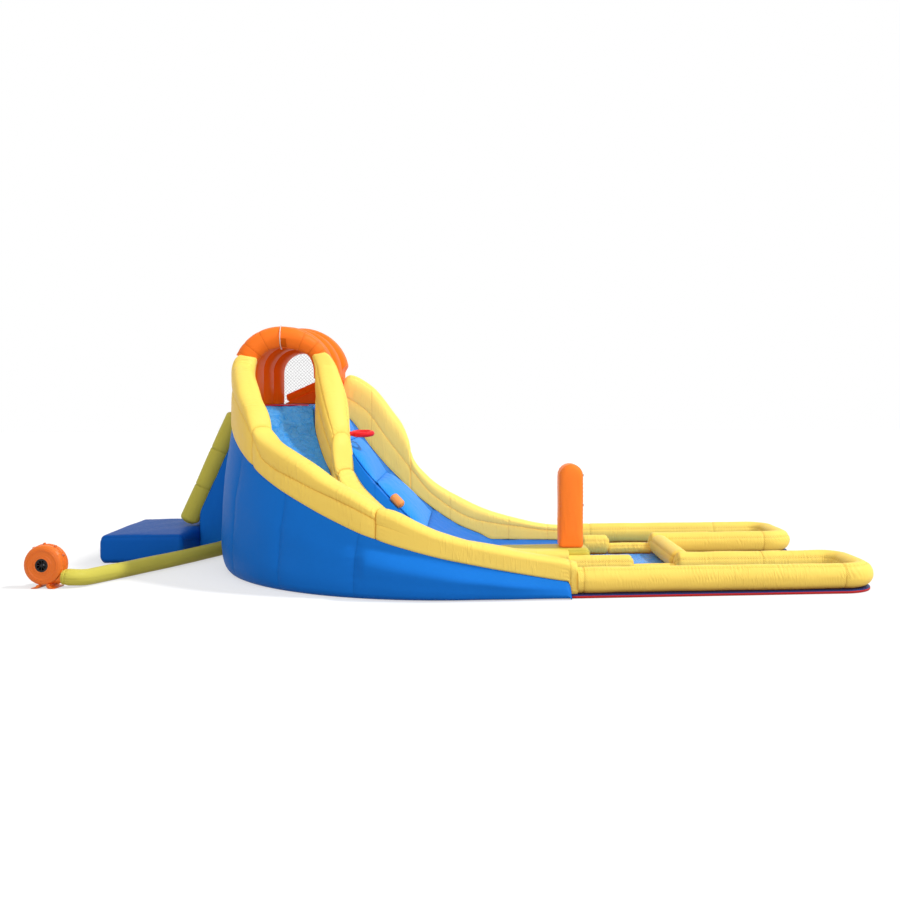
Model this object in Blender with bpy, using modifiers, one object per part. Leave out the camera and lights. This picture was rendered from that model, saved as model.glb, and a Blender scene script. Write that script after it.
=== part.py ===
"""Inflatable water park: a curved slide, a climbing lane, a covered tower, two long pool lanes and a blower.

Metres, +Z up. The origin is on the ground at the centre of the slide's quarter turn. The slide leaves the
tower towards -Y, turns towards +X and runs out into the near lane.
"""

import math

import bmesh
import bpy
from mathutils import Matrix, Vector

# Clearances
GAP = 0.0004            # between chambers and fittings that touch
RUNNING = 0.003         # round the turning impeller

# Slide, in plan: radii from the centre of the turn
TURN_RADIUS = 2.36      # middle of the outer guard
GUARD_WIDTH = 0.24
WALL_LEAN = 0.07        # the near wall's foot stands out this far beyond the guard
WALL_BULGE = 0.03
DIVIDER_RADIUS = 1.58   # middle of the divider between slide and climbing lane
RUNOUT = 1.0            # straight length after the turn
CURVE_STEPS = 24
STRAIGHT_STEPS = 6
BED_THICKNESS = 0.05

ARCH_SPRING = 2.03      # height of the front arch's centre

# Heights along the slide: share of its length, height above ground
WALL_LINE = ((0.0, 1.60), (0.105, 1.456), (0.21, 1.29), (0.327, 1.06), (0.458, 0.82), (0.633, 0.506),
             (0.78, 0.323), (0.93, 0.184), (1.0, 0.13))
BED_LINE = ((0.0, 1.69), (0.05, 1.69), (0.10, 1.50), (0.165, 1.33), (0.245, 1.13), (0.327, 0.95),
            (0.458, 0.72), (0.633, 0.41), (0.78, 0.25), (0.93, 0.12), (1.0, 0.095))
GUARD_LINE = ((0.0, ARCH_SPRING + 0.14), (0.07, ARCH_SPRING + 0.14), (0.12, 2.11), (0.188, 1.95),
              (0.228, 1.81), (0.268, 1.68), (0.315, 1.44), (0.407, 1.275), (0.468, 1.16), (0.52, 1.03),
              (0.57, 0.925), (0.615, 0.82), (0.658, 0.75), (0.70, 0.66), (0.74, 0.58), (0.82, 0.474),
              (0.895, 0.40), (0.97, 0.337), (1.0, 0.30))
GUARD_SEAM = ((0.0, 1.90), (0.10, 1.86), (0.21, 1.70), (0.30, 1.42), (0.34, 1.20), (0.458, 1.00),
              (0.56, 0.83), (0.63, 0.69), (0.75, 0.47), (1.0, 0.215))
DIVIDER_LINE = ((0.0, ARCH_SPRING + 0.18), (0.07, ARCH_SPRING + 0.18), (0.10, 2.16), (0.15, 2.00),
                (0.221, 1.76), (0.26, 1.60), (0.295, 1.46), (0.325, 1.32), (0.361, 1.08), (0.39, 0.95),
                (0.447, 0.82), (0.512, 0.69), (0.626, 0.54), (0.697, 0.455), (0.788, 0.40), (0.862, 0.34),
                (0.895, 0.31), (1.0, 0.29))
GUARD_CUTS = (2, 9, 19, 30)      # stations where the guard's creases lie
DIVIDER_CUTS = (2, 9, 11, 30)
CREASE = 0.80                    # how far a chamber draws in at its crease

# Tower and canopy
TOWER_BACK = 1.40
TOWER_BULGE = 0.03
DECK_THICKNESS = 0.08
DECK_EDGE = 0.005                # the deck stops this far short of the climbing lane
ARCH_TUBE = 0.115
ARCH_ENDS_DEG = (27.0, 34.0)     # its ends stand this far above the spring: outer side, inner side
CANOPY_RIBS = (0.44, 0.90, 1.39)
CANOPY_DRIFT = 0.006             # sideways, for each metre to the back
CANOPY_SPRING = 2.06
RIB_THICKNESS = (0.20, 0.24)
REAR_REACH = 0.388               # radius and thickness of the rear arch
REAR_THICKNESS = 0.305
DOOR_DROP = 0.08                 # the ribs over the climbing lane end this far below their spring
WINDOW_SILL = (1.70, 1.91)       # height at the outer and the inner side
SILL_TUBE = 0.040
NET_CELLS = (9, 10)
NET_CORD = 0.006

# Climbing lane
CLIMB_END = 1.26
CLIMB_LINE = ((0.0, 1.60), (0.052, 1.45), (0.129, 1.16), (0.213, 0.90), (0.342, 0.565), (0.43, 0.385),
              (0.515, 0.245), (0.60, 0.15), (0.66, 0.08), (1.0, 0.08))
FAR_EDGE = (1.32, 0.90)          # far edge of the lane at its head and its foot
FAR_BULGE = 0.05
FAR_LINE = ((0.0, 2.06), (0.05, 2.03), (0.12, 1.92), (0.165, 1.80), (0.225, 1.58), (0.26, 1.45),
            (0.287, 1.28), (0.31, 1.03), (0.36, 0.86), (0.42, 0.72), (0.51, 0.58), (0.60, 0.46),
            (0.69, 0.375), (0.78, 0.31), (0.87, 0.26), (1.0, 0.23))
FAR_SEAM = ((0.0, 1.80), (0.10, 1.62), (0.20, 1.26), (0.29, 0.95), (0.40, 0.60), (0.60, 0.30), (1.0, 0.17))
FAR_CREASE = 17                  # station of the far guard's crease
PILLOWS = ((4, 9), (9, 14), (14, 20))
PILLOW_HEIGHT = 0.10
PILLOW_MARGIN = 0.155
PILLOW_FAR = 0.50
STEP_BLOCK = (0.32, 1.24, 0.40, 0.20)    # start, end, width and height of the lime step
PILLAR = (0.24, 0.30, 0.83)              # along the lane, across it, height
PILLAR_X = 1.055
CLIP = (0.03, 0.012, 0.022)
HOOP_ANGLE = 0.56
HOOP_HEIGHT = 1.40
HOOP_TILT_DEG = 6.0
HOOP_RING = (0.095, 0.027)
HOOP_REACH = 0.21               # from the divider to the ring's middle
HOLD_ANGLE = 1.05
HOLD = (0.046, 0.16)

# Lanes and pool
LANE_TUBE = 0.115
LANE_CENTRES = 0.81
LANE_END = 3.80
LANE_CORNER = 0.20
BASE_THICKNESS = 0.03
FAR_LANE_NEAR = -0.13
FAR_LANE_END = 3.72
CROSS_X = 2.14
BOLSTER = 0.105
NEAR_BOLSTER_END = 1.64
NEAR_LIP = (1.66, 1.97)
FAR_BOLSTER = (1.30, 1.58)
FAR_LIP = (1.62, 1.92)
LIP_TUBE = 0.06

# Rear ramp and landing cushion
RAMP_FOOT = -3.01
RAMP_SIDE = 0.55
RAMP_FOOT_HEIGHT = 0.46
RAMP_HEAD_HEIGHT = 1.60
RAMP_GUARD = 0.085
RAMP_GUARD_ENDS = (0.335, 1.60)   # heights of its ends
CUSHION = ((-3.88, -0.16), (RAMP_FOOT - GAP, 1.39))
CUSHION_HEIGHT = 0.30

# Blower: its own frame has the inlet towards -Y and the outlet towards +X
BLOWER_PLACE = (-3.90, -1.515)
BLOWER_TURN_DEG = -10.0
SCROLL_RADIUS = 0.188
SCROLL_CENTRE = 0.216
SCROLL_DEPTH = 0.15
SCROLL_WALL = 0.004
INLET_RADIUS = 0.052
SPOUT_RADIUS = 0.060
SPOUT_HEIGHT = 0.100
SPOUT_END = 0.200
IMPELLER_RADIUS = 0.105
IMPELLER_DEPTH = 0.07
BLADES = 12
HUB_RADIUS = 0.028
SHAFT_RADIUS = 0.006
MOTOR_RADIUS = 0.068
MOTOR_LENGTH = 0.125
STAND_REACH = (0.125, 0.060)
STAND_DEPTH = 0.17
TERMINAL_BOX = (0.060, 0.055, 0.034)
ROCKER = (0.020, 0.013, 0.008)
ROCKER_TILT_DEG = 8.0
GLAND = (0.009, 0.022)
DUCT_RADIUS = 0.077
DUCT_ROUTE = ((-3.605, -1.535, 0.092), (-3.555, -1.46, 0.081),
              (-3.50, -1.33, 0.078), (-3.335, -1.00, 0.078), (-3.17, -0.66, 0.078), (-3.035, -0.39, 0.078),
              (-2.915, -0.12, 0.078), (-2.81, 0.13, 0.078), (-2.735, 0.31, 0.080), (-2.70, 0.44, 0.086),
              (-2.70, 0.53, 0.090))
COLLAR = (0.006, 0.018)          # wall, depth

# Small fittings
ZIP_TAPE = (0.60, 0.004, 0.030)
ZIP_PLACE = (-2.30, 0.16)
ZIP_SLIDER = (0.030, 0.008, 0.016)
LOOP = (0.06, 0.03, 0.004)
LOOP_X = 3.19
HOSE_RADIUS = 0.009

COLOURS = {
    "blue": ((0.035, 0.19, 0.60, 1.0), 0.45),
    "pale_blue": ((0.07, 0.32, 0.78, 1.0), 0.45),
    "yellow": ((0.90, 0.66, 0.11, 1.0), 0.5),
    "lime": ((0.52, 0.55, 0.13, 1.0), 0.5),
    "orange": ((0.90, 0.22, 0.03, 1.0), 0.45),
    "deep_orange": ((0.62, 0.11, 0.02, 1.0), 0.5),
    "red": ((0.75, 0.05, 0.06, 1.0), 0.4),
    "black": ((0.02, 0.02, 0.02, 1.0), 0.5),
    "grey": ((0.35, 0.36, 0.37, 1.0), 0.4),
    "white": ((0.80, 0.80, 0.80, 1.0), 0.4),
}

for old in list(bpy.data.objects):
    bpy.data.objects.remove(old)

park = bpy.data.collections.new("inflatable_water_park")
bpy.context.scene.collection.children.link(park)
cutters = bpy.data.collections.new("cutters")
bpy.context.scene.collection.children.link(cutters)


def line(points, share):
    """Height at a share of a line's length: cubic between the given points, without overshoot."""
    xs = [p[0] for p in points]
    ys = [p[1] for p in points]
    share = min(max(share, xs[0]), xs[-1])
    i = max(k for k in range(len(xs) - 1) if xs[k] <= share)
    steps = [(ys[k + 1] - ys[k]) / (xs[k + 1] - xs[k]) for k in range(len(xs) - 1)]

    def slope(k):
        if k == 0 or k == len(xs) - 1:
            return steps[0] if k == 0 else steps[-1]
        a, b = steps[k - 1], steps[k]
        return 0.0 if a * b <= 0 else 2 * a * b / (a + b)

    h = xs[i + 1] - xs[i]
    t = (share - xs[i]) / h
    return ((2 * t ** 3 - 3 * t ** 2 + 1) * ys[i] + (t ** 3 - 2 * t ** 2 + t) * h * slope(i)
            + (3 * t ** 2 - 2 * t ** 3) * ys[i + 1] + (t ** 3 - t ** 2) * h * slope(i + 1))


def finish(obj, colour, parent=None, smooth=True):
    """Puts an object in the collection with a material of its own."""
    rgba, rough = COLOURS[colour]
    material = bpy.data.materials.new(obj.name)
    material.use_nodes = True
    shader = material.node_tree.nodes["Principled BSDF"]
    shader.inputs["Base Color"].default_value = rgba
    shader.inputs["Roughness"].default_value = rough
    shader.inputs["Metallic"].default_value = 0.0
    obj.data.materials.clear()
    obj.data.materials.append(material)
    for holder in list(obj.users_collection):
        holder.objects.unlink(obj)
    park.objects.link(obj)
    obj.parent = parent
    if smooth and obj.type == "MESH":
        obj.data.shade_smooth()
        obj.data.set_sharp_from_angle(angle=math.radians(40))
    return obj


def mesh_object(name, bm):
    mesh = bpy.data.meshes.new(name)
    bm.to_mesh(mesh)
    bm.free()
    return bpy.data.objects.new(name, mesh)


def loft(name, rings, colour, smooth=True, fan=False):
    """Joins rings of equally many points one after another and closes both ends, with a fan where asked."""
    bm = bmesh.new()
    loops = [[bm.verts.new(p) for p in ring] for ring in rings]
    for a, b in zip(loops, loops[1:]):
        for i in range(len(a)):
            j = (i + 1) % len(a)
            # Faces that lie on one another are split the same way: from the first ring's inner point
            if a[i].co.xy.length <= a[j].co.xy.length:
                bm.faces.new((a[i], a[j], b[j]))
                bm.faces.new((a[i], b[j], b[i]))
            else:
                bm.faces.new((a[i], a[j], b[i]))
                bm.faces.new((a[j], b[j], b[i]))
    for ring in (loops[0][::-1], loops[-1]):
        if fan:
            middle = bm.verts.new(sum((v.co for v in ring), Vector()) / len(ring))
            for a, b in zip(ring, ring[1:] + ring[:1]):
                bm.faces.new((a, b, middle))
        else:
            bm.faces.new(ring)
    bmesh.ops.triangulate(bm, faces=bm.faces)
    bmesh.ops.recalc_face_normals(bm, faces=bm.faces)
    return finish(mesh_object(name, bm), colour, smooth=smooth)


def box(name, low, high, colour, parent=None, bevel=0.0):
    """A block between two corners, with its edges rounded where bevel is given."""
    bm = bmesh.new()
    size = [b - a for a, b in zip(low, high)]
    middle = [(a + b) / 2 for a, b in zip(low, high)]
    bmesh.ops.create_cube(bm, size=1.0, matrix=Matrix.Translation(middle) @ Matrix.Diagonal((*size, 1.0)))
    obj = finish(mesh_object(name, bm), colour, parent)
    if bevel:
        edge = obj.modifiers.new("edges", "BEVEL")
        edge.width = bevel
        edge.segments = 2
        edge.limit_method = "ANGLE"
    return obj


def tube(name, points, radii, colour, parent=None, sides=4):
    """A tube through the points, with a radius at each."""
    data = bpy.data.curves.new(name, "CURVE")
    data.dimensions = "3D"
    data.bevel_depth = 1.0
    data.bevel_resolution = sides
    data.use_fill_caps = True
    data.twist_mode = "MINIMUM"
    spline = data.splines.new("POLY")
    spline.points.add(len(points) - 1)
    for point, place, radius in zip(spline.points, points, radii):
        point.co = (*place, 1.0)
        point.radius = radius
    return finish(bpy.data.objects.new(name, data), colour, parent)


def rounded_ends(points, radius, start=True, end=True):
    """Adds points close to a tube's ends so that its radius closes in there like a cushion's."""
    shrink = ((0.0, 0.55), (0.25, 0.86), (0.6, 1.0))
    inner = [Vector(p) for p in points]
    radii = [radius] * len(inner)
    if start:
        way = (inner[1] - inner[0]).normalized()
        first = [inner[0] + way * radius * share for share, _ in shrink]
        inner = first + inner[1:]
        radii = [radius * size for _, size in shrink] + radii[1:]
    if end:
        way = (inner[-2] - inner[-1]).normalized()
        last = [inner[-1] + way * radius * share for share, _ in shrink][::-1]
        inner = inner[:-1] + last
        radii = radii[:-1] + [radius * size for _, size in shrink][::-1]
    return inner, radii


def turned(name, profile, colour, parent=None, axis="Y", steps=28):
    """A closed outline of (radius, height) pairs turned about a local axis."""
    area = sum(a[0] * b[1] - b[0] * a[1] for a, b in zip(profile, profile[1:] + profile[:1]))
    if area > 0:
        profile = profile[::-1]
    bm = bmesh.new()
    corners = [bm.verts.new((r, 0.0, h)) for r, h in profile]
    for a, b in zip(corners, corners[1:] + corners[:1]):
        bm.edges.new((a, b))
    obj = finish(mesh_object(name, bm), colour, parent, smooth=False)
    screw = obj.modifiers.new("turn", "SCREW")
    screw.steps = screw.render_steps = steps
    screw.use_merge_vertices = True
    screw.merge_threshold = 0.00001
    if axis == "Y":
        obj.rotation_euler = (math.radians(-90), 0.0, 0.0)
    if axis == "X":
        obj.rotation_euler = (0.0, math.radians(90), 0.0)
    return obj


def flat(name, outlines, thickness, colour, parent=None):
    """A plate with a 2D outline, and holes where more outlines are given."""
    data = bpy.data.curves.new(name, "CURVE")
    data.dimensions = "2D"
    data.fill_mode = "BOTH"
    data.extrude = thickness / 2
    for outline in outlines:
        spline = data.splines.new("POLY")
        spline.points.add(len(outline) - 1)
        spline.use_cyclic_u = True
        for point, place in zip(spline.points, outline):
            point.co = (place[0], place[1], 0.0, 1.0)
    return finish(bpy.data.objects.new(name, data), colour, parent)


def cut(obj, cutter):
    """Takes a cutter's shape out of an object."""
    for holder in list(cutter.users_collection):
        holder.objects.unlink(cutter)
    cutters.objects.link(cutter)
    cutter.hide_render = True
    cutter.display_type = "WIRE"
    step = obj.modifiers.new("cut", "BOOLEAN")
    step.operation = "DIFFERENCE"
    step.solver = "EXACT"
    step.object = cutter


def block_cutter(name, low, high, parent=None):
    bm = bmesh.new()
    size = [b - a for a, b in zip(low, high)]
    middle = [(a + b) / 2 for a, b in zip(low, high)]
    bmesh.ops.create_cube(bm, size=1.0, matrix=Matrix.Translation(middle) @ Matrix.Diagonal((*size, 1.0)))
    obj = mesh_object(name, bm)
    cutters.objects.link(obj)
    obj.parent = parent
    return obj


def round_cutter(name, radius, length, place, direction, parent=None, segments=28):
    bm = bmesh.new()
    turn = Vector((0, 0, 1)).rotation_difference(Vector(direction)).to_matrix().to_4x4()
    bmesh.ops.create_cone(bm, cap_ends=True, segments=segments, radius1=radius, radius2=radius,
                          depth=length, matrix=Matrix.Translation(place) @ turn)
    obj = mesh_object(name, bm)
    cutters.objects.link(obj)
    obj.parent = parent
    return obj


# The slide's stations: each is a distance along the middle of the outer guard
TURN_LENGTH = math.pi / 2 * TURN_RADIUS
SLIDE_LENGTH = TURN_LENGTH + RUNOUT
STATIONS = ([TURN_LENGTH * i / CURVE_STEPS for i in range(CURVE_STEPS)]
            + [TURN_LENGTH + RUNOUT * i / STRAIGHT_STEPS for i in range(STRAIGHT_STEPS + 1)])
HALF = GUARD_WIDTH / 2 - GAP
BED_OUTER = TURN_RADIUS - GUARD_WIDTH / 2
BED_INNER = DIVIDER_RADIUS + GUARD_WIDTH / 2
LANE_EDGE = DIVIDER_RADIUS - GUARD_WIDTH / 2
WALL_TOP = TURN_RADIUS + GUARD_WIDTH / 2


def plan(station, radius):
    """Point in plan at a station, at a radius from the centre of the turn."""
    if station <= TURN_LENGTH:
        angle = station / TURN_RADIUS
        return Vector((-radius * math.cos(angle), -radius * math.sin(angle)))
    return Vector((station - TURN_LENGTH, -radius))


def at(station, radius, height):
    p = plan(station, radius)
    return Vector((p.x, p.y, height))


def height(points, station):
    return line(points, station / SLIDE_LENGTH)


def bed_base(station):
    return height(BED_LINE, station) - BED_THICKNESS


def make_slide_body():
    rings = []
    for s in STATIONS:
        top, base = height(WALL_LINE, s), bed_base(s)
        section = ((WALL_TOP + WALL_LEAN, 0.0), (WALL_TOP + WALL_LEAN + WALL_BULGE, 0.22 * top),
                   (WALL_TOP + 0.6 * WALL_LEAN + WALL_BULGE, 0.6 * top), (WALL_TOP, top), (BED_OUTER, top),
                   (BED_OUTER - GAP, base), (BED_INNER, base), (LANE_EDGE, base), (LANE_EDGE, 0.0))
        rings.append([at(s, r, z) for r, z in section])
    return loft("slide_body", rings, "blue")


def make_slide_bed():
    rings = []
    for s in STATIONS:
        base, top = bed_base(s) + GAP, height(BED_LINE, s)
        section = ((BED_OUTER - 2 * GAP, base), (BED_OUTER - 2 * GAP, top - 0.008), (BED_OUTER - 0.03, top),
                   ((BED_OUTER + BED_INNER) / 2, top - 0.012), (BED_INNER + 0.03, top),
                   (BED_INNER + GAP, top - 0.008), (BED_INNER + GAP, base))
        rings.append([at(s, r, z) for r, z in section])
    return loft("slide_bed", rings, "pale_blue")


def guard_section(low, seam, high, half, squeeze):
    """Half widths and heights of a two lobed guard, from its foot to its crest, squeezed at a crease."""
    h_low, h_up = seam - low, high - seam
    side = ((1.0, low + 0.25 * h_low), (1.0, low + 0.75 * h_low), (0.90, seam),
            (1.0, seam + 0.25 * h_up), (0.97, seam + 0.62 * h_up), (0.72, seam + 0.88 * h_up), (0.30, high))
    shaped = [(half, low)] + [(w * half * squeeze, low + (z - low) * (0.5 + 0.5 * squeeze)) for w, z in side]
    return [(-w, z) for w, z in shaped[::-1]] + shaped


def make_guard(name, first, last, radius, foot, seam, crest, squeeze_first, squeeze_last):
    """A length of guard between two stations, drawn in at the ends that are creases."""
    stations = STATIONS[first:last + 1]
    rings = []
    for k, s in enumerate(stations):
        start = CREASE if squeeze_first and k == 0 else 1.0
        end = CREASE if squeeze_last and k == len(stations) - 1 else 1.0
        shift = GAP if k == 0 else (-GAP if k == len(stations) - 1 else 0.0)
        low = foot(s) + (2 * GAP if shift else GAP)
        high = height(crest, s)
        middle = seam(s, low, high)
        section = guard_section(low, middle, high, HALF, start * end)
        rings.append([at(s + shift, radius + w, z) for w, z in section])
    return loft(name, rings, "yellow", fan=True)


def make_slide_guards():
    def wall(s):
        return height(WALL_LINE, s)

    def outer_seam(s, low, high):
        return min(max(height(GUARD_SEAM, s), low + 0.3 * (high - low)), low + 0.7 * (high - low))

    def half_way(s, low, high):
        return low + 0.5 * (high - low)

    names = ("outer_guard_upper", "outer_guard_middle", "outer_guard_lower")
    for name, a, b in zip(names, GUARD_CUTS, GUARD_CUTS[1:]):
        make_guard(name, a, b, TURN_RADIUS, wall, outer_seam, GUARD_LINE,
                   a != GUARD_CUTS[0], b != GUARD_CUTS[-1])
    names = ("divider_upper", "divider_middle", "divider_lower")
    for name, a, b in zip(names, DIVIDER_CUTS, DIVIDER_CUTS[1:]):
        make_guard(name, a, b, DIVIDER_RADIUS, bed_base, half_way, DIVIDER_LINE,
                   a != DIVIDER_CUTS[0], b != DIVIDER_CUTS[-1])


# The climbing lane shares the slide's stations, so the two bodies meet along the same faces
CLIMB_STATIONS = STATIONS + [STATIONS[-1] + CLIMB_END - RUNOUT]
CLIMB_START = -LANE_EDGE


def lane_x(station):
    return plan(station, LANE_EDGE).x


def lane_share(x):
    return (x - CLIMB_START) / (CLIMB_END - CLIMB_START)


def far_edge(x):
    return FAR_EDGE[0] + (FAR_EDGE[1] - FAR_EDGE[0]) * lane_share(x)


def lane_height(x):
    return line(CLIMB_LINE, lane_share(x))


def make_climbing_body():
    rings = []
    for k, s in enumerate(CLIMB_STATIONS):
        x, near = plan(s, LANE_EDGE - GAP)
        x = max(x, CLIMB_START + 2 * GAP)
        top, far = lane_height(x), far_edge(x)
        rings.append([(x, near, 0.0), (x, near, top), (x, far, top), (x, far + FAR_BULGE, 0.4 * top),
                      (x, far + FAR_BULGE * 0.6, 0.0)])
    return loft("climbing_body", rings, "blue")


def make_far_guards():
    last = len(CLIMB_STATIONS) - 1
    for name, a, b in (("far_guard_upper", 1, FAR_CREASE), ("far_guard_lower", FAR_CREASE, last)):
        rings = []
        for k in range(a, b + 1):
            x = lane_x(CLIMB_STATIONS[k])
            low = lane_height(x) + (4 * GAP if k in (a, b) else GAP)
            high = line(FAR_LINE, lane_share(x))
            tall = high - low
            seam = min(max(line(FAR_SEAM, lane_share(x)), low + 0.3 * tall), low + 0.65 * tall)
            squeeze = CREASE if k == FAR_CREASE else 1.0
            x += GAP if k == a else (-GAP if k == b else 0.0)
            middle = far_edge(x) - GUARD_WIDTH / 2
            rings.append([(x, middle + w, z) for w, z in guard_section(low, seam, high, HALF, squeeze)])
        loft(name, rings, "yellow", fan=True)


def make_pillows():
    """Climbing pillows: crowned pads on the lane, from near the divider to short of the far guard."""
    for number, (a, b) in enumerate(PILLOWS, 1):
        rings = []
        for k in range(a, b + 1):
            share = (k - a) / (b - a)
            swell = max(0.12, 1 - abs(2 * share - 1) ** 2.5)
            x, near = plan(CLIMB_STATIONS[k], LANE_EDGE - PILLOW_MARGIN)
            x = lane_x(CLIMB_STATIONS[k]) + (2 * GAP if k == a else (-2 * GAP if k == b else 0.0))
            near = plan(CLIMB_STATIONS[k], LANE_EDGE).y + PILLOW_MARGIN
            low = lane_height(x) + GAP
            high = low + PILLOW_HEIGHT * swell
            inset = 0.06 * (1 - swell)
            near, far = near + inset, PILLOW_FAR - inset
            rings.append([(x, near, low), (x, near - 0.01, (low + high) / 2), (x, near + 0.03, high - 0.012),
                          (x, (near + far) / 2, high), (x, far - 0.03, high - 0.012),
                          (x, far + 0.01, (low + high) / 2), (x, far, low)])
        loft(f"climbing_pillow_{number}", rings, "pale_blue")


def make_step_and_pillar():
    start, end, width, tall = STEP_BLOCK
    near = -LANE_EDGE + GAP
    foot = lane_height(end) + GAP
    box("splash_step", (start, near + 0.004, foot), (end, near + width, foot + tall), "lime", bevel=0.05)
    along, across, up = PILLAR
    middle = near + width / 2 + 0.01
    steps = 10
    outline = [(-along / 2, 0.0), (along / 2, 0.0)]
    centre = up - along / 2
    turns = [math.pi * i / steps for i in range(steps + 1)]
    outline += [(along / 2 * math.cos(turn), centre + along / 2 * math.sin(turn)) for turn in turns]
    base = foot + tall + GAP
    rings = []
    for share, scale in ((0.0, 0.84), (0.08, 0.95), (0.25, 1.0), (0.75, 1.0), (0.92, 0.95), (1.0, 0.84)):
        y = middle - across / 2 + across * share
        rings.append([(PILLAR_X + x * scale, y, base + (z if z == 0 else centre + (z - centre) * scale))
                      for x, z in outline])
    loft("spray_pillar", rings, "orange")
    side = PILLAR_X + along / 2
    for name, up in (("hose_clip_upper", 0.70), ("hose_clip_lower", 0.40)):
        box(name, (side + GAP, middle - CLIP[1] / 2, base + up),
            (side + GAP + CLIP[0] * 0.5, middle + CLIP[1] / 2, base + up + CLIP[2]), "black")


def make_hoop_and_hold():
    ring, pipe = HOOP_RING
    way = Vector((math.cos(HOOP_ANGLE), math.sin(HOOP_ANGLE), 0.0))
    centre = Vector((0.0, 0.0, HOOP_HEIGHT)) - way * (LANE_EDGE - HOOP_REACH)
    tilt = (math.radians(HOOP_TILT_DEG), 0.0, 0.0)
    bpy.ops.mesh.primitive_torus_add(location=centre, rotation=tilt, major_radius=ring, minor_radius=pipe,
                                     major_segments=24, minor_segments=8)
    hoop = bpy.context.object
    hoop.name = "hoop_ring"
    finish(hoop, "red")
    # The arm runs from the ring to the divider's face, found with rays from the centre of the turn
    side = Vector((-way.y, way.x, 0.0)) * pipe * 0.8
    up = Vector((0.0, 0.0, pipe * 0.8))
    divider = bpy.data.objects["divider_upper"]
    foot = LANE_EDGE
    for shift in (side * 0, side, -side, up, -up):
        hit, place, _, _ = divider.ray_cast(Vector((0.0, 0.0, HOOP_HEIGHT)) + shift, -way)
        if hit:
            foot = min(foot + GUARD_WIDTH * (foot == LANE_EDGE), -(place - shift).dot(way))
    start, end = LANE_EDGE - HOOP_REACH + ring, foot - GAP
    mesh = bmesh.new()
    turn = Vector((0, 0, 1)).rotation_difference(-way).to_matrix().to_4x4()
    middle = Vector((0.0, 0.0, HOOP_HEIGHT)) - way * (start + end) / 2
    bmesh.ops.create_cone(mesh, cap_ends=True, segments=12, radius1=pipe * 0.8, radius2=pipe * 0.8,
                          depth=end - start, matrix=Matrix.Translation(middle) @ turn)
    arm = mesh_object("hoop_arm", mesh)
    cut(hoop, arm)
    hoop.modifiers["cut"].operation = "UNION"

    radius, length = HOLD
    place = plan(HOLD_ANGLE * TURN_RADIUS, LANE_EDGE - radius - 0.012)
    along = Vector((math.sin(HOLD_ANGLE), -math.cos(HOLD_ANGLE), 0.0))
    fall = (lane_height(place.x + 0.02) - lane_height(place.x - 0.02)) / 0.04
    along.z = fall * along.x
    along.normalize()
    up = Vector((-fall, 0.0, 1.0)).normalized()
    middle = Vector((place.x, place.y, lane_height(place.x))) + up * (radius + GAP)
    points, radii = rounded_ends([middle - along * length / 2, middle + along * length / 2], radius)
    tube("hand_hold", points, radii, "orange")


def make_tower():
    left, right = -WALL_TOP, CLIMB_START
    top = height(BED_LINE, 0.0) - DECK_THICKNESS
    rings = []
    for y, swell in ((GAP, 0.0), (0.45, 1.0), (0.95, 1.0), (TOWER_BACK, 0.0)):
        out = TOWER_BULGE * swell
        rings.append([(left, y, 0.0), (left - out, y, 0.3 * top), (left - out * 0.5, y, 0.7 * top),
                      (left, y, top), (right - GAP, y, top), (right - GAP, y, 0.0)])
    loft("tower_body", rings, "blue")
    back = TOWER_BACK - 0.01
    box("deck", (left + 0.02, GAP * 3, top + GAP), (right - DECK_EDGE, back, top + DECK_THICKNESS),
        "pale_blue", bevel=0.02)


def arch_points(middle, radius, spring, start, end, foot_left=None, foot_right=None, steps=14):
    """Points of an arch in (x, z), from its left foot over the top to its right foot."""
    points = []
    if foot_left is not None:
        points.append((middle - radius, foot_left))
    for i in range(steps + 1):
        angle = math.radians(start + (end - start) * i / steps)
        points.append((middle - radius * math.cos(angle), spring + radius * math.sin(angle)))
    if foot_right is not None:
        points.append((middle + radius, foot_right))
    return points


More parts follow.
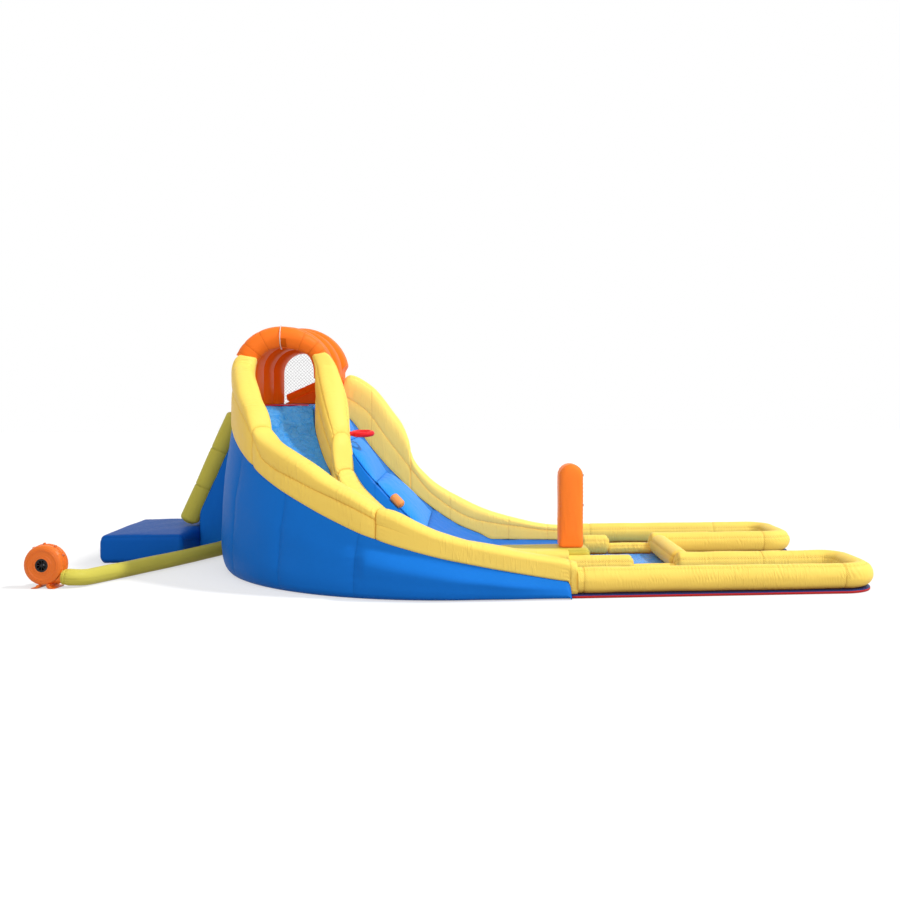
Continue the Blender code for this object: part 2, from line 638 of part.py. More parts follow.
def make_canopy():
    station = STATIONS[GUARD_CUTS[0]] + 0.001
    outer, inner = plan(station, TURN_RADIUS), plan(station, DIVIDER_RADIUS)
    middle = (outer + inner) / 2
    reach = (outer - inner).length / 2
    way = (inner - outer).normalized()
    front = [Vector((*(middle + way * x), z)) for x, z in
             arch_points(0.0, reach, ARCH_SPRING, ARCH_ENDS_DEG[0], 180 - ARCH_ENDS_DEG[1])]
    front_arch = tube("front_arch", front, [ARCH_TUBE] * len(front), "orange", sides=4)

    deck = height(BED_LINE, 0.0) + GAP
    ribs = (("canopy_rib_front", reach, RIB_THICKNESS[0] / 2),
            ("canopy_rib_middle", reach, RIB_THICKNESS[1] / 2),
            ("rear_arch", REAR_REACH, REAR_THICKNESS / 2))
    lean = way.y / way.x
    near_side = middle.y + (ARCH_TUBE + GAP) / way.x
    for number, ((name, radius, half), y1) in enumerate(zip(ribs, CANOPY_RIBS)):
        full = name == "rear_arch"
        y0 = CANOPY_RIBS[number - 1] + GAP if number else near_side
        x0 = middle.x + CANOPY_DRIFT * (y0 + y1)
        foot = deck if full else CANOPY_SPRING - DOOR_DROP
        path = arch_points(x0, radius, CANOPY_SPRING, 0, 180, deck, foot)
        rings = []
        for k, (x, z) in enumerate(path):
            before, after = path[max(k - 1, 0)], path[min(k + 1, len(path) - 1)]
            out = Vector((-(after[1] - before[1]), after[0] - before[0])).normalized()
            ring = []
            for j in range(10):
                turn = 2 * math.pi * j / 10
                c, s = math.cos(turn), math.sin(turn)
                depth = math.copysign(abs(s) ** 0.8, s) * half
                wide = x + out.x * depth
                if full and z <= CANOPY_SPRING:
                    # Its inner leg stays on the deck; the far guard's head lies beside it
                    wide = min(wide, CLIMB_START - DECK_EDGE)
                # The first rib's near side lies along the front arch, which stands askew
                start = y0 if number else y0 + lean * (wide - middle.x)
                across = math.copysign(abs(c) ** 0.6, c) * (y1 - start) / 2
                ring.append((wide, (start + y1) / 2 + across, z + out.y * depth))
            rings.append(ring)
        loft(name, rings, "orange" if not full else "deep_orange", fan=True)

    y0, y1 = CANOPY_RIBS[-2] + GAP, CANOPY_RIBS[-1]
    x0 = middle.x + CANOPY_DRIFT * (y0 + y1)
    inside = REAR_REACH - REAR_THICKNESS / 2 - 0.004
    across = 2 * inside
    outline = [(x0 - inside, deck), (x0 + inside, deck), (x0 + inside, WINDOW_SILL[1]),
               (x0 - inside, WINDOW_SILL[0])]
    wall_back = y1 - 0.02
    rings = [[(x, wall_back - depth, z) for x, z in outline] for depth in (0.0, 0.10)]
    loft("window_wall", rings, "deep_orange", smooth=False)
    slant = Vector((across, 0.0, WINDOW_SILL[1] - WINDOW_SILL[0])).normalized()
    lift = Vector((-slant.z, 0.0, slant.x)) * (SILL_TUBE + GAP)
    low_corner = Vector((x0 - inside, wall_back - 0.05, WINDOW_SILL[0]))
    length = math.hypot(across, WINDOW_SILL[1] - WINDOW_SILL[0])
    ends = [low_corner + slant * 0.03 + lift, low_corner + slant * (length - 0.03) + lift]
    points, radii = rounded_ends(ends, SILL_TUBE)
    tube("sill_tube", points, radii, "orange")

    columns, rows = NET_CELLS
    span, low = 2 * REAR_REACH, deck + 0.03
    bm = bmesh.new()
    bmesh.ops.create_grid(bm, x_segments=columns, y_segments=rows, size=0.5)
    net = mesh_object("window_net", bm)
    finish(net, "black", smooth=False)
    for vertex in net.data.vertices:
        u, v = vertex.co.x, vertex.co.y
        high = CANOPY_SPRING + math.sqrt(max(REAR_REACH ** 2 - (u * span) ** 2, 0.0))
        vertex.co = (x0 + u * span, y1 + NET_CORD / 2 + GAP, low + (v + 0.5) * (high - low))
    wire = net.modifiers.new("cords", "WIREFRAME")
    wire.thickness = NET_CORD
    wire.use_boundary = True
    wire.use_replace = True
    wire.use_even_offset = False
    return front_arch, middle, reach


def ramp_steepness():
    return (RAMP_HEAD_HEIGHT - RAMP_FOOT_HEIGHT) / (-WALL_TOP - TOWER_BULGE - RAMP_FOOT)


def ramp_slope(x):
    return RAMP_FOOT_HEIGHT + (x - RAMP_FOOT) * ramp_steepness()


def make_rear():
    head = -WALL_TOP - TOWER_BULGE - GAP
    outline = [(RAMP_FOOT, 0.0), (head, 0.0), (head, ramp_slope(head)), (RAMP_FOOT, RAMP_FOOT_HEIGHT)]
    rings = []
    for y, swell in ((RAMP_SIDE, 0.0), (RAMP_SIDE + 0.06, 1.0), (TOWER_BACK - 0.06, 1.0), (TOWER_BACK, 0.0)):
        lift = 0.02 * (1 - swell)
        rings.append([(x, y, z - (lift if z > 0 else 0.0)) for x, z in outline])
    loft("rear_ramp", rings, "blue")

    low, high = CUSHION
    cushion_rings = []
    for share, draw, tall in ((0.0, 0.05, 0.0), (0.06, 0.0, 0.55), (0.5, 0.0, 1.0), (0.94, 0.0, 0.55),
                              (1.0, 0.05, 0.0)):
        x = low[0] + (high[0] - low[0]) * share
        y0, y1 = low[1] + draw, high[1] - draw
        lift = CUSHION_HEIGHT - 0.035 + 0.035 * tall
        cushion_rings.append([(x, y0 + 0.02, 0.0), (x, y0, lift * 0.5), (x, y0 + 0.012, lift - 0.045),
                              (x, y0 + 0.06, lift), (x, (y0 + y1) / 2, lift + 0.012 * tall),
                              (x, y1 - 0.06, lift), (x, y1 - 0.012, lift - 0.045), (x, y1, lift * 0.5),
                              (x, y1 - 0.02, 0.0)])
    loft("landing_cushion", cushion_rings, "blue")

    for name, y in (("ramp_guard_near", RAMP_SIDE + RAMP_GUARD),
                    ("ramp_guard_far", TOWER_BACK - RAMP_GUARD)):
        ends = []
        for z in RAMP_GUARD_ENDS:
            x = RAMP_FOOT + (z - RAMP_FOOT_HEIGHT) / ramp_steepness()
            ends.append(Vector((x - (RAMP_GUARD + GAP) * math.hypot(1, 1 / ramp_steepness()), y, z)))
        points, radii = rounded_ends(ends, RAMP_GUARD)
        tube(name, points, radii, "lime")


def u_path(start, end, near, far, back, corner, z, steps=6):
    """A lane's wall in plan: along its near side, round its end and back along its far side."""
    points = [(start, near)]
    for i in range(steps + 1):
        angle = -math.pi / 2 + math.pi / 2 * i / steps
        points.append((end - corner + corner * math.cos(angle), near + corner + corner * math.sin(angle)))
    for i in range(steps + 1):
        angle = math.pi / 2 * i / steps
        points.append((end - corner + corner * math.cos(angle), far - corner + corner * math.sin(angle)))
    points.append((back, far))
    return [Vector((x, y, z)) for x, y in points]


def make_lanes():
    near_side = -(WALL_TOP + WALL_LEAN) + 0.03
    near = near_side + LANE_TUBE
    near_far = near + LANE_CENTRES
    far = FAR_EDGE[1] - LANE_TUBE - 0.03
    z = BASE_THICKNESS + GAP + LANE_TUBE
    start = RUNOUT + GAP
    inner = LANE_END - LANE_TUBE
    path = u_path(start, inner, near, near_far, CROSS_X - 0.10, LANE_CORNER, z)
    points, radii = rounded_ends(path, LANE_TUBE, start=False)
    tube("near_lane_wall", points, radii, "yellow")
    path = u_path(CROSS_X - 0.10, FAR_LANE_END - LANE_TUBE, FAR_LANE_NEAR, far, CLIMB_END + 2 * GAP,
                  LANE_CORNER, z)
    points, radii = rounded_ends(path, LANE_TUBE, end=False)
    tube("far_lane_wall", points, radii, "yellow")
    side = LANE_TUBE + 2 * GAP
    lay = Vector((CROSS_X, near_far + side, z)), Vector((CROSS_X, FAR_LANE_NEAR - side, z))
    points, radii = rounded_ends(lay, LANE_TUBE * 0.97)
    tube("cross_wall", points, radii, "yellow")

    z_low = BASE_THICKNESS + GAP + BOLSTER
    lay = Vector((start, near_far, z_low)), Vector((NEAR_BOLSTER_END, near_far, z_low))
    points, radii = rounded_ends(lay, BOLSTER, start=False)
    tube("near_bolster", points, radii, "yellow")
    lay = Vector((FAR_BOLSTER[0], FAR_LANE_NEAR, z_low)), Vector((FAR_BOLSTER[1], FAR_LANE_NEAR, z_low))
    points, radii = rounded_ends(lay, BOLSTER)
    tube("far_bolster", points, radii, "yellow")
    z_lip = BASE_THICKNESS + GAP + LIP_TUBE
    for name, (x0, x1), y in (("near_lip", NEAR_LIP, near_far), ("far_lip", FAR_LIP, FAR_LANE_NEAR)):
        points, radii = rounded_ends([Vector((x0, y, z_lip)), Vector((x1, y, z_lip))], LIP_TUBE)
        tube(name, points, radii, "yellow")

    def sheet(name, x0, x1, y0, y1, corner, low, thick, colour):
        outline = [(x0, y0)]
        for i in range(7):
            angle = -math.pi / 2 + math.pi / 2 * i / 6
            outline.append((x1 - corner + corner * math.cos(angle), y0 + corner + corner * math.sin(angle)))
        for i in range(7):
            angle = math.pi / 2 * i / 6
            outline.append((x1 - corner + corner * math.cos(angle), y1 - corner + corner * math.sin(angle)))
        outline.append((x0, y1))
        obj = flat(name, [outline], thick, colour)
        obj.location.z = low + thick / 2

    edge = near_far + LANE_TUBE
    middle = FAR_LANE_NEAR - LANE_TUBE
    round_end = LANE_CORNER + LANE_TUBE
    sheet("near_lane_base", start, LANE_END, near_side - 0.005, edge, round_end, 0.0, BASE_THICKNESS, "red")
    sheet("pool_base", CLIMB_END + GAP, CROSS_X + LANE_TUBE, edge + GAP, middle - GAP, 0.02, 0.0,
          BASE_THICKNESS, "red")
    sheet("far_lane_base", CLIMB_END + GAP, FAR_LANE_END, middle, far + LANE_TUBE + 0.005, round_end, 0.0,
          BASE_THICKNESS, "red")
    edge_y = middle - GAP
    box("anchor_loop", (LOOP_X, edge_y - LOOP[1], 0.0), (LOOP_X + LOOP[0], edge_y, LOOP[2]), "grey")


def make_blower():
    frame = bpy.data.objects.new("blower_frame", None)
    park.objects.link(frame)
    frame.location = (*BLOWER_PLACE, 0.0)
    frame.rotation_euler = (0.0, 0.0, math.radians(BLOWER_TURN_DEG))
    R, wall, half = SCROLL_RADIUS, SCROLL_WALL, SCROLL_DEPTH / 2
    def pan(name, hole, sign, steps):
        # Turned about the local Y axis; the flange at the middle plane is closed by the other half
        rim = 0.03
        outline = [(hole, half), (0.085, half), (0.095, half - 0.006), (0.125, half - 0.006), (0.135, half),
                   (R - rim, half), (R - 0.3 * rim, half - 0.3 * rim), (R, half - rim), (R, GAP / 2),
                   (R - wall, GAP / 2), (R - wall, half - rim), (R - rim, half - wall),
                   (0.136, half - wall), (0.126, half - wall - 0.006), (0.094, half - wall - 0.006),
                   (0.084, half - wall), (hole, half - wall)]
        outline = [(r, sign * h) for r, h in outline]
        obj = turned(name, outline, "orange", frame, steps=steps)
        obj.location = (0.0, 0.0, SCROLL_CENTRE)
        return obj

    # The turned axis runs along +Y after the quarter turn, so the inlet half has negative heights
    for name, hole, sign in (("scroll_front", INLET_RADIUS, -1), ("scroll_rear", SHAFT_RADIUS + RUNNING, 1)):
        obj = pan(name, hole, sign, 32)
        place = (0.165, 0.0, SPOUT_HEIGHT)
        cut(obj, round_cutter(name + "_mouth", SPOUT_RADIUS - wall, 0.20, place, (1, 0, 0), frame, 24))

    # The spout's end is shaped to lie on the round of the scroll
    spout = turned("outlet_spout", [(SPOUT_RADIUS - wall, 0.01), (SPOUT_RADIUS, 0.01),
                                    (SPOUT_RADIUS, SPOUT_END), (SPOUT_RADIUS - wall, SPOUT_END)],
                   "orange", frame, axis="X", steps=24)
    spout.location = (0.0, 0.0, SPOUT_HEIGHT)
    cut(spout, round_cutter("spout_saddle", R + GAP, 0.4, (0.0, 0.0, SCROLL_CENTRE), (0, 1, 0), frame, 64))

    holes = []
    bars, inner, outer = 8, 0.016, INLET_RADIUS - 0.006
    for i in range(bars):
        a0 = 2 * math.pi * (i + 0.12) / bars
        a1 = 2 * math.pi * (i + 0.88) / bars
        turns = [a0 + (a1 - a0) * k / 3 for k in range(4)]
        arc = [(outer * math.cos(turn), outer * math.sin(turn)) for turn in turns]
        back = [(inner * math.cos(a1), inner * math.sin(a1)), (inner * math.cos(a0), inner * math.sin(a0))]
        holes.append(arc + back)
    edge = INLET_RADIUS + 0.012
    rim = [(edge * math.cos(math.pi * k / 16), edge * math.sin(math.pi * k / 16)) for k in range(32)]
    grille = flat("inlet_grille", [rim] + holes, 0.004, "black", frame)
    grille.rotation_euler = (math.radians(90), 0.0, 0.0)
    grille.location = (0.0, -half - 0.002 - GAP, SCROLL_CENTRE)

    outline = []
    for i in range(BLADES):
        a = 2 * math.pi * i / BLADES
        for r, turn in ((HUB_RADIUS, -0.16), (0.066, 0.06), (IMPELLER_RADIUS, 0.30), (IMPELLER_RADIUS, 0.36),
                        (0.068, 0.13), (HUB_RADIUS, 0.02)):
            outline.append((r * math.cos(a + turn), r * math.sin(a + turn)))
    edge = SHAFT_RADIUS + GAP
    bore = [(edge * math.cos(math.pi * k / 8), edge * math.sin(math.pi * k / 8)) for k in range(16)]
    impeller = flat("impeller", [outline, bore], IMPELLER_DEPTH, "grey", frame)
    impeller.rotation_euler = (math.radians(90), 0.0, 0.0)
    impeller.location = (0.0, 0.0, SCROLL_CENTRE)

    shaft_start, shaft_end = -IMPELLER_DEPTH / 2 - 0.004, half + 0.035
    bpy.ops.mesh.primitive_cylinder_add(vertices=16, radius=SHAFT_RADIUS, depth=shaft_end - shaft_start,
                                        location=(0.0, (shaft_start + shaft_end) / 2, SCROLL_CENTRE),
                                        rotation=(math.radians(90), 0.0, 0.0))
    shaft = bpy.context.object
    shaft.name = "motor_shaft"
    finish(shaft, "grey", frame)

    start, end = half + GAP, half + MOTOR_LENGTH
    M = MOTOR_RADIUS
    bore = SHAFT_RADIUS + GAP
    motor = turned("motor_casing", [(bore, start), (M, start), (M, end - 0.012), (M - 0.012, end),
                                    (0.0, end), (0.0, half + 0.040), (bore, half + 0.040)],
                   "grey", frame, steps=28)
    motor.location = (0.0, 0.0, SCROLL_CENTRE)

    # Terminal box on top of the motor, with the rocker switch in a pocket in its top
    wide, deep, tall = TERMINAL_BOX
    y = half + MOTOR_LENGTH / 2
    low = SCROLL_CENTRE + M - 0.012
    terminal = box("terminal_box", (-wide / 2, y - deep / 2, low), (wide / 2, y + deep / 2, low + tall),
                   "black", frame)
    place = (0.0, y, SCROLL_CENTRE)
    cut(terminal, round_cutter("motor_seat", M + GAP, deep * 2, place, (0, 1, 0), frame, 28))
    length, breadth, thick = ROCKER
    top = low + tall
    cut(terminal, block_cutter("rocker_pocket", (-length / 2 - 0.0012, y - breadth / 2 - GAP, top - 0.011),
                               (length / 2 + 0.0012, y + breadth / 2 + GAP, top + 0.01), frame))
    corners = [(-length / 2, 0.0), (0.0, -thick * 0.5), (length / 2, 0.0),
               (length / 2 - 0.0008, thick * 0.55), (0.0, thick * 0.30), (-length / 2 + 0.0008, thick * 0.55)]
    near, far = -breadth / 2, breadth / 2
    c, s = math.cos(math.radians(ROCKER_TILT_DEG)), math.sin(math.radians(ROCKER_TILT_DEG))
    corners = [(x * c - z * s, x * s + z * c) for x, z in corners]
    sides = [[(x, side, z) for x, z in corners] for side in (near, far)]
    rocker = loft("rocker_switch", sides, "black", smooth=False)
    rocker.parent = frame
    rocker.location = (0.0, y, top - 0.0055)

    radius, length = GLAND
    gland = turned("cable_gland", [(0.0, 0.0), (radius, 0.0), (radius, length * 0.5), (radius * 0.7, length),
                                   (0.0, length)], "black", frame, axis="X", steps=16)
    gland.location = (wide / 2 + GAP, y, low + tall * 0.62)

    # The stand's two feet are joined by a bar under the scroll, which lies in its hollow
    reach, inside = STAND_REACH
    outline = [(-reach, 0.0), (-inside, 0.0), (-inside + 0.015, 0.014), (inside - 0.015, 0.014),
               (inside, 0.0), (reach, 0.0)]
    seat = R + GAP
    start = math.asin(reach / seat)
    turns = [start - 2 * start * k / 16 for k in range(17)]
    outline += [(seat * math.sin(turn), SCROLL_CENTRE - seat * math.cos(turn)) for turn in turns]
    deep = STAND_DEPTH / 2
    ends = [[(x, side, z) for x, z in outline] for side in (-deep, deep)]
    stand = loft("blower_stand", ends, "orange", smooth=False)
    stand.parent = frame
    cut(stand, round_cutter("spout_relief", SPOUT_RADIUS + GAP, 0.4, (0.2, 0.0, SPOUT_HEIGHT), (1, 0, 0),
                            frame, 24))
    return frame


def make_duct():
    """The inflation duct: a full sleeve from the spout to a collar on the ramp's near side."""
    turn = math.radians(BLOWER_TURN_DEG)
    way = Vector((math.cos(turn), math.sin(turn), 0.0))
    mouth = Vector((*BLOWER_PLACE, SPOUT_HEIGHT)) + way * (SPOUT_END + GAP)
    route = [mouth, mouth + way * DUCT_RADIUS / 2] + [Vector(p) for p in DUCT_ROUTE]
    radii = [DUCT_RADIUS] * len(route)
    radii[0] = DUCT_RADIUS * 0.88
    tube("inflation_duct", route, radii, "lime", sides=4)
    end = route[-1]
    face = RAMP_SIDE
    wall, deep = COLLAR
    bore = (DUCT_RADIUS + GAP) / math.cos(math.pi / 24)
    collar = turned("duct_collar", [(bore, 0.0), (bore + wall, 0.0), (bore + wall, -deep), (bore, -deep)],
                    "blue", None, steps=24)
    collar.location = (end.x, face - GAP, end.z)


def make_fittings(front_arch, middle, reach):
    long, thin, tall = ZIP_TAPE
    x, z = ZIP_PLACE
    y = TOWER_BACK + GAP
    box("zip_tape", (x, y, z), (x + long, y + thin, z + tall), "black")
    length, deep, high = ZIP_SLIDER
    slider = box("zip_slider", (x + 0.02, y + thin + GAP, z + (tall - high) / 2),
                 (x + 0.02 + length, y + thin + GAP + deep, z + (tall + high) / 2), "grey")

    top = ARCH_SPRING + reach
    path = []
    normal = Vector((0.0, -1.0, 0.0))
    for i in range(9):
        angle = math.radians(-75 + 150 * i / 8)
        out = ARCH_TUBE + HOSE_RADIUS + 0.003
        y = middle.y + normal.y * out * math.cos(angle)
        path.append(Vector((middle.x, y, top + out * math.sin(angle))))
    tube("spray_hose", path, [HOSE_RADIUS] * len(path), "white", sides=2)
    return slider


make_slide_body()
make_slide_bed()
make_slide_guards()
make_climbing_body()
make_far_guards()
make_pillows()
make_step_and_pillar()
make_hoop_and_hold()
make_tower()
make_rear()
make_lanes()
make_blower()
make_duct()
make_fittings(*make_canopy())
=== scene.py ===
"""Looks of the inflatable water park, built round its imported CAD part.

Metres, in the frame of the CAD part: the origin is on the ground at the centre of the slide's quarter turn,
+Z is up, the slide leaves the tower towards -Y and runs out towards +X.
"""
import math

import bpy
import numpy as np
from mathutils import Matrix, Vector


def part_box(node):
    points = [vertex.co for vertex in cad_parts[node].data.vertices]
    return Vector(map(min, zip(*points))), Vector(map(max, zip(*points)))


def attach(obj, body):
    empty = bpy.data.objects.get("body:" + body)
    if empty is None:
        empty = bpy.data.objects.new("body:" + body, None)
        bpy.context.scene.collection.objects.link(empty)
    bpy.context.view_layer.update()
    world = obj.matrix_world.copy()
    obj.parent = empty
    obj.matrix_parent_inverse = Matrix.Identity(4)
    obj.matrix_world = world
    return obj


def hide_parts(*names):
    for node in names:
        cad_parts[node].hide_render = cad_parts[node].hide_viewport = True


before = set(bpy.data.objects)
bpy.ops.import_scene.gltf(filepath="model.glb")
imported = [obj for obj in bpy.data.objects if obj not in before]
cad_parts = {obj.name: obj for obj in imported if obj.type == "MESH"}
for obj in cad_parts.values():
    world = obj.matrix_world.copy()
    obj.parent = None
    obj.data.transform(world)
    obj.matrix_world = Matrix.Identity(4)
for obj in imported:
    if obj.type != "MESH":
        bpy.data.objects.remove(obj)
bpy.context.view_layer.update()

bl_info = {
    "name": "Inflatable water park",
    "version": (1, 0, 0),
    "blender": (4, 5, 0),
    "location": "View3D > Sidebar > Water park",
    "description": "Sewn air chambers, pool lanes, blower and fittings of an inflatable water park",
    "category": "Object",
}

# Sizes repeated from the part's source
GAP = 0.0004
TURN_RADIUS = 2.36
HALF = 0.1196
WALL_LEAN = 0.07
WALL_BULGE = 0.03
DIVIDER_RADIUS = 1.58
TURN_LENGTH = math.pi / 2 * TURN_RADIUS
SLIDE_LENGTH = TURN_LENGTH + 1.0
STEP = TURN_LENGTH / 24
BED_OUTER, BED_INNER, LANE_EDGE, WALL_TOP = 2.24, 1.70, 1.46, 2.48
BED_THICKNESS = 0.05
WALL_LINE = ((0.0, 1.60), (0.105, 1.456), (0.21, 1.29), (0.327, 1.06), (0.458, 0.82), (0.633, 0.506),
             (0.78, 0.323), (0.93, 0.184), (1.0, 0.13))
BED_LINE = ((0.0, 1.69), (0.05, 1.69), (0.10, 1.50), (0.165, 1.33), (0.245, 1.13), (0.327, 0.95),
            (0.458, 0.72), (0.633, 0.41), (0.78, 0.25), (0.93, 0.12), (1.0, 0.095))
ARCH_SPRING = 2.03
GUARD_LINE = ((0.0, ARCH_SPRING + 0.14), (0.07, ARCH_SPRING + 0.14), (0.12, 2.11), (0.188, 1.95),
              (0.228, 1.81), (0.268, 1.68), (0.315, 1.44), (0.407, 1.275), (0.468, 1.16), (0.52, 1.03),
              (0.57, 0.925), (0.615, 0.82), (0.658, 0.75), (0.70, 0.66), (0.74, 0.58), (0.82, 0.474),
              (0.895, 0.40), (0.97, 0.337), (1.0, 0.30))
GUARD_SEAM = ((0.0, 1.90), (0.10, 1.86), (0.21, 1.70), (0.30, 1.42), (0.34, 1.20), (0.458, 1.00),
              (0.56, 0.83), (0.63, 0.69), (0.75, 0.47), (1.0, 0.215))
DIVIDER_LINE = ((0.0, ARCH_SPRING + 0.18), (0.07, ARCH_SPRING + 0.18), (0.10, 2.16), (0.15, 2.00),
                (0.221, 1.76), (0.26, 1.60), (0.295, 1.46), (0.325, 1.32), (0.361, 1.08), (0.39, 0.95),
                (0.447, 0.82), (0.512, 0.69), (0.626, 0.54), (0.697, 0.455), (0.788, 0.40), (0.862, 0.34),
                (0.895, 0.31), (1.0, 0.29))
# How far the divider's cloth leans from its middle line towards the climbing lane, by share of the slide
DIVIDER_LEAN = ((0.0, 0.06), (0.07, 0.06), (0.12, 0.07), (0.20, 0.08), (0.28, 0.075), (0.325, 0.03),
                (0.36, 0.0), (1.0, 0.0))
GUARD_CUTS = (2, 9, 19)
DIVIDER_CUTS = (2, 9, 11)
CREASE = 0.80
TOWER_BACK = 1.40
TOWER_BULGE = 0.03
DECK_TOP = 1.69
DECK_THICKNESS = 0.08
ARCH_TUBE = 0.115
ARCH_REACH = 0.39
ARCH_ENDS = (27.0, 34.0)          # degrees above the spring: outer side, inner side
CANOPY_SPRING = 2.06
CANOPY_RIBS = (0.44, 0.90, 1.39)
CANOPY_DRIFT = 0.006
RIB_THICKNESS = (0.20, 0.24)
REAR_REACH, REAR_THICKNESS = 0.388, 0.305
DECK_EDGE = 0.005
DOOR_HEAD = 1.98
WINDOW_SILL = (1.70, 1.91)
SILL_TUBE = 0.040
NET_CORD = 0.006
CLIMB_START, CLIMB_END = -1.46, 1.26
CLIMB_LINE = ((0.0, 1.60), (0.052, 1.45), (0.129, 1.16), (0.213, 0.90), (0.342, 0.565), (0.43, 0.385),
              (0.515, 0.245), (0.60, 0.15), (0.66, 0.08), (1.0, 0.08))
FAR_EDGE = (1.32, 0.90)
FAR_BULGE = 0.05
FAR_LINE = ((0.0, 2.06), (0.05, 2.03), (0.12, 1.92), (0.165, 1.80), (0.225, 1.58), (0.26, 1.45),
            (0.287, 1.28), (0.31, 1.03), (0.36, 0.86), (0.42, 0.72), (0.51, 0.58), (0.60, 0.46),
            (0.69, 0.375), (0.78, 0.31), (0.87, 0.26), (1.0, 0.23))
FAR_SEAM = ((0.0, 1.80), (0.10, 1.62), (0.20, 1.26), (0.29, 0.95), (0.40, 0.60), (0.60, 0.30), (1.0, 0.17))
FAR_CREASE = 17
PILLOWS = ((4, 9), (9, 14), (14, 20))
PILLOW_HEIGHT = 0.10
PILLOW_MARGIN = 0.155
PILLOW_FAR = 0.50
HOOP_ANGLE, HOOP_HEIGHT, HOOP_TILT = 0.56, 1.40, math.radians(6)
HOOP_RING = (0.095, 0.027)
HOOP_REACH = 0.21
HOLD_ANGLE, HOLD_RADIUS, HOLD_LENGTH = 1.05, 0.046, 0.16
LANE_TUBE = 0.115
LANE_Z = 0.03 + GAP + LANE_TUBE
NEAR_WALL = (-2.405, -1.595)
FAR_WALL = (-0.13, 0.755)
NEAR_END, FAR_END = 3.80, 3.72
LANE_CORNER = 0.20
CROSS_X = 2.14
RAMP_FOOT, RAMP_SIDE = -3.01, 0.55
RAMP_HEIGHTS = (0.46, 1.60)
RAMP_GUARD = 0.085
RAMP_GUARD_ENDS = (0.335, 1.60)
CUSHION = ((-3.88, -0.16), (-3.0104, 1.39), 0.30)
BLOWER_PLACE, BLOWER_TURN = (-3.90, -1.515), math.radians(-10)
SCROLL_RADIUS, SCROLL_CENTRE, SCROLL_HALF = 0.188, 0.216, 0.075
SPOUT_HEIGHT, SPOUT_END = 0.100, 0.200
DUCT_RADIUS = 0.077
DUCT_ROUTE = ((-3.605, -1.535, 0.092), (-3.555, -1.46, 0.081), (-3.50, -1.33, 0.078), (-3.335, -1.00, 0.078),
              (-3.17, -0.66, 0.078), (-3.035, -0.39, 0.078), (-2.915, -0.12, 0.078), (-2.81, 0.13, 0.078),
              (-2.735, 0.31, 0.080), (-2.70, 0.44, 0.086), (-2.70, 0.53, 0.090))
HOSE_RADIUS = 0.009

# Where the photograph shows the outer wall's upright baffles: angles of the quarter turn
WALL_BAFFLES = (0.17, 0.488, 0.841, 1.18)

# Steps and shares of the soft shapes
GUARD_STEP = 0.0075             # between the rings of a guard
BLOCK_STEP = 0.02               # between the rings of a soft block
FLOOR_STEP = 0.012              # between the points of a pool floor
BOLSTER_END = 0.62              # length of a bolster's closed end, as a share of its radius
WALL_CUT = 0.062                # how far before the slide's end its wall stops
BINDING_HEIGHT = 0.0235         # where the dark binding of a base sheet begins


class ParkColours(bpy.types.PropertyGroup):
    """Colours of the vinyl and of the fittings."""
    yellow: bpy.props.FloatVectorProperty(
        name="Yellow vinyl", description="Guards and lane walls", subtype="COLOR", size=3, min=0.0, max=1.0,
        default=(0.90, 0.690, 0.140))
    lime: bpy.props.FloatVectorProperty(
        name="Lime vinyl", description="Duct, ramp tubes and step", subtype="COLOR", size=3,
        min=0.0, max=1.0, default=(0.58, 0.52, 0.085))
    blue: bpy.props.FloatVectorProperty(
        name="Blue vinyl", description="Slide wall, tower, ramp and cushion", subtype="COLOR", size=3,
        min=0.0, max=1.0, default=(0.010, 0.170, 0.63))
    pale_blue: bpy.props.FloatVectorProperty(
        name="Light blue vinyl", description="Slide bed, pillows and pool floors", subtype="COLOR", size=3,
        min=0.0, max=1.0, default=(0.020, 0.29, 0.90))
    orange: bpy.props.FloatVectorProperty(
        name="Orange vinyl", description="Front arch, ribs and pillar", subtype="COLOR", size=3,
        min=0.0, max=1.0, default=(0.93, 0.195, 0.020))
    deep_orange: bpy.props.FloatVectorProperty(
        name="Deep orange vinyl", description="Rear arch and window wall", subtype="COLOR", size=3,
        min=0.0, max=1.0, default=(0.90, 0.170, 0.014))
    red: bpy.props.FloatVectorProperty(
        name="Red vinyl", description="Hoop and base sheets", subtype="COLOR", size=3, min=0.0, max=1.0,
        default=(0.78, 0.022, 0.030))


class ParkCloth(bpy.types.PropertyGroup):
    """How the coated cloth is sewn and how it creases."""
    weave: bpy.props.FloatProperty(
        name="Weave pitch", description="Distance between threads", default=0.0028, min=0.0005,
        unit="LENGTH")
    pucker: bpy.props.FloatProperty(
        name="Pucker depth", description="Depth of the folds beside a seam", default=0.0042, min=0.0,
        unit="LENGTH")
    pitch: bpy.props.FloatProperty(
        name="Pucker pitch", description="Distance between folds beside a seam", default=0.042, min=0.01,
        unit="LENGTH")
    groove: bpy.props.FloatProperty(
        name="Seam depth", description="How far a seam draws the cloth in", default=0.007, min=0.0,
        unit="LENGTH")


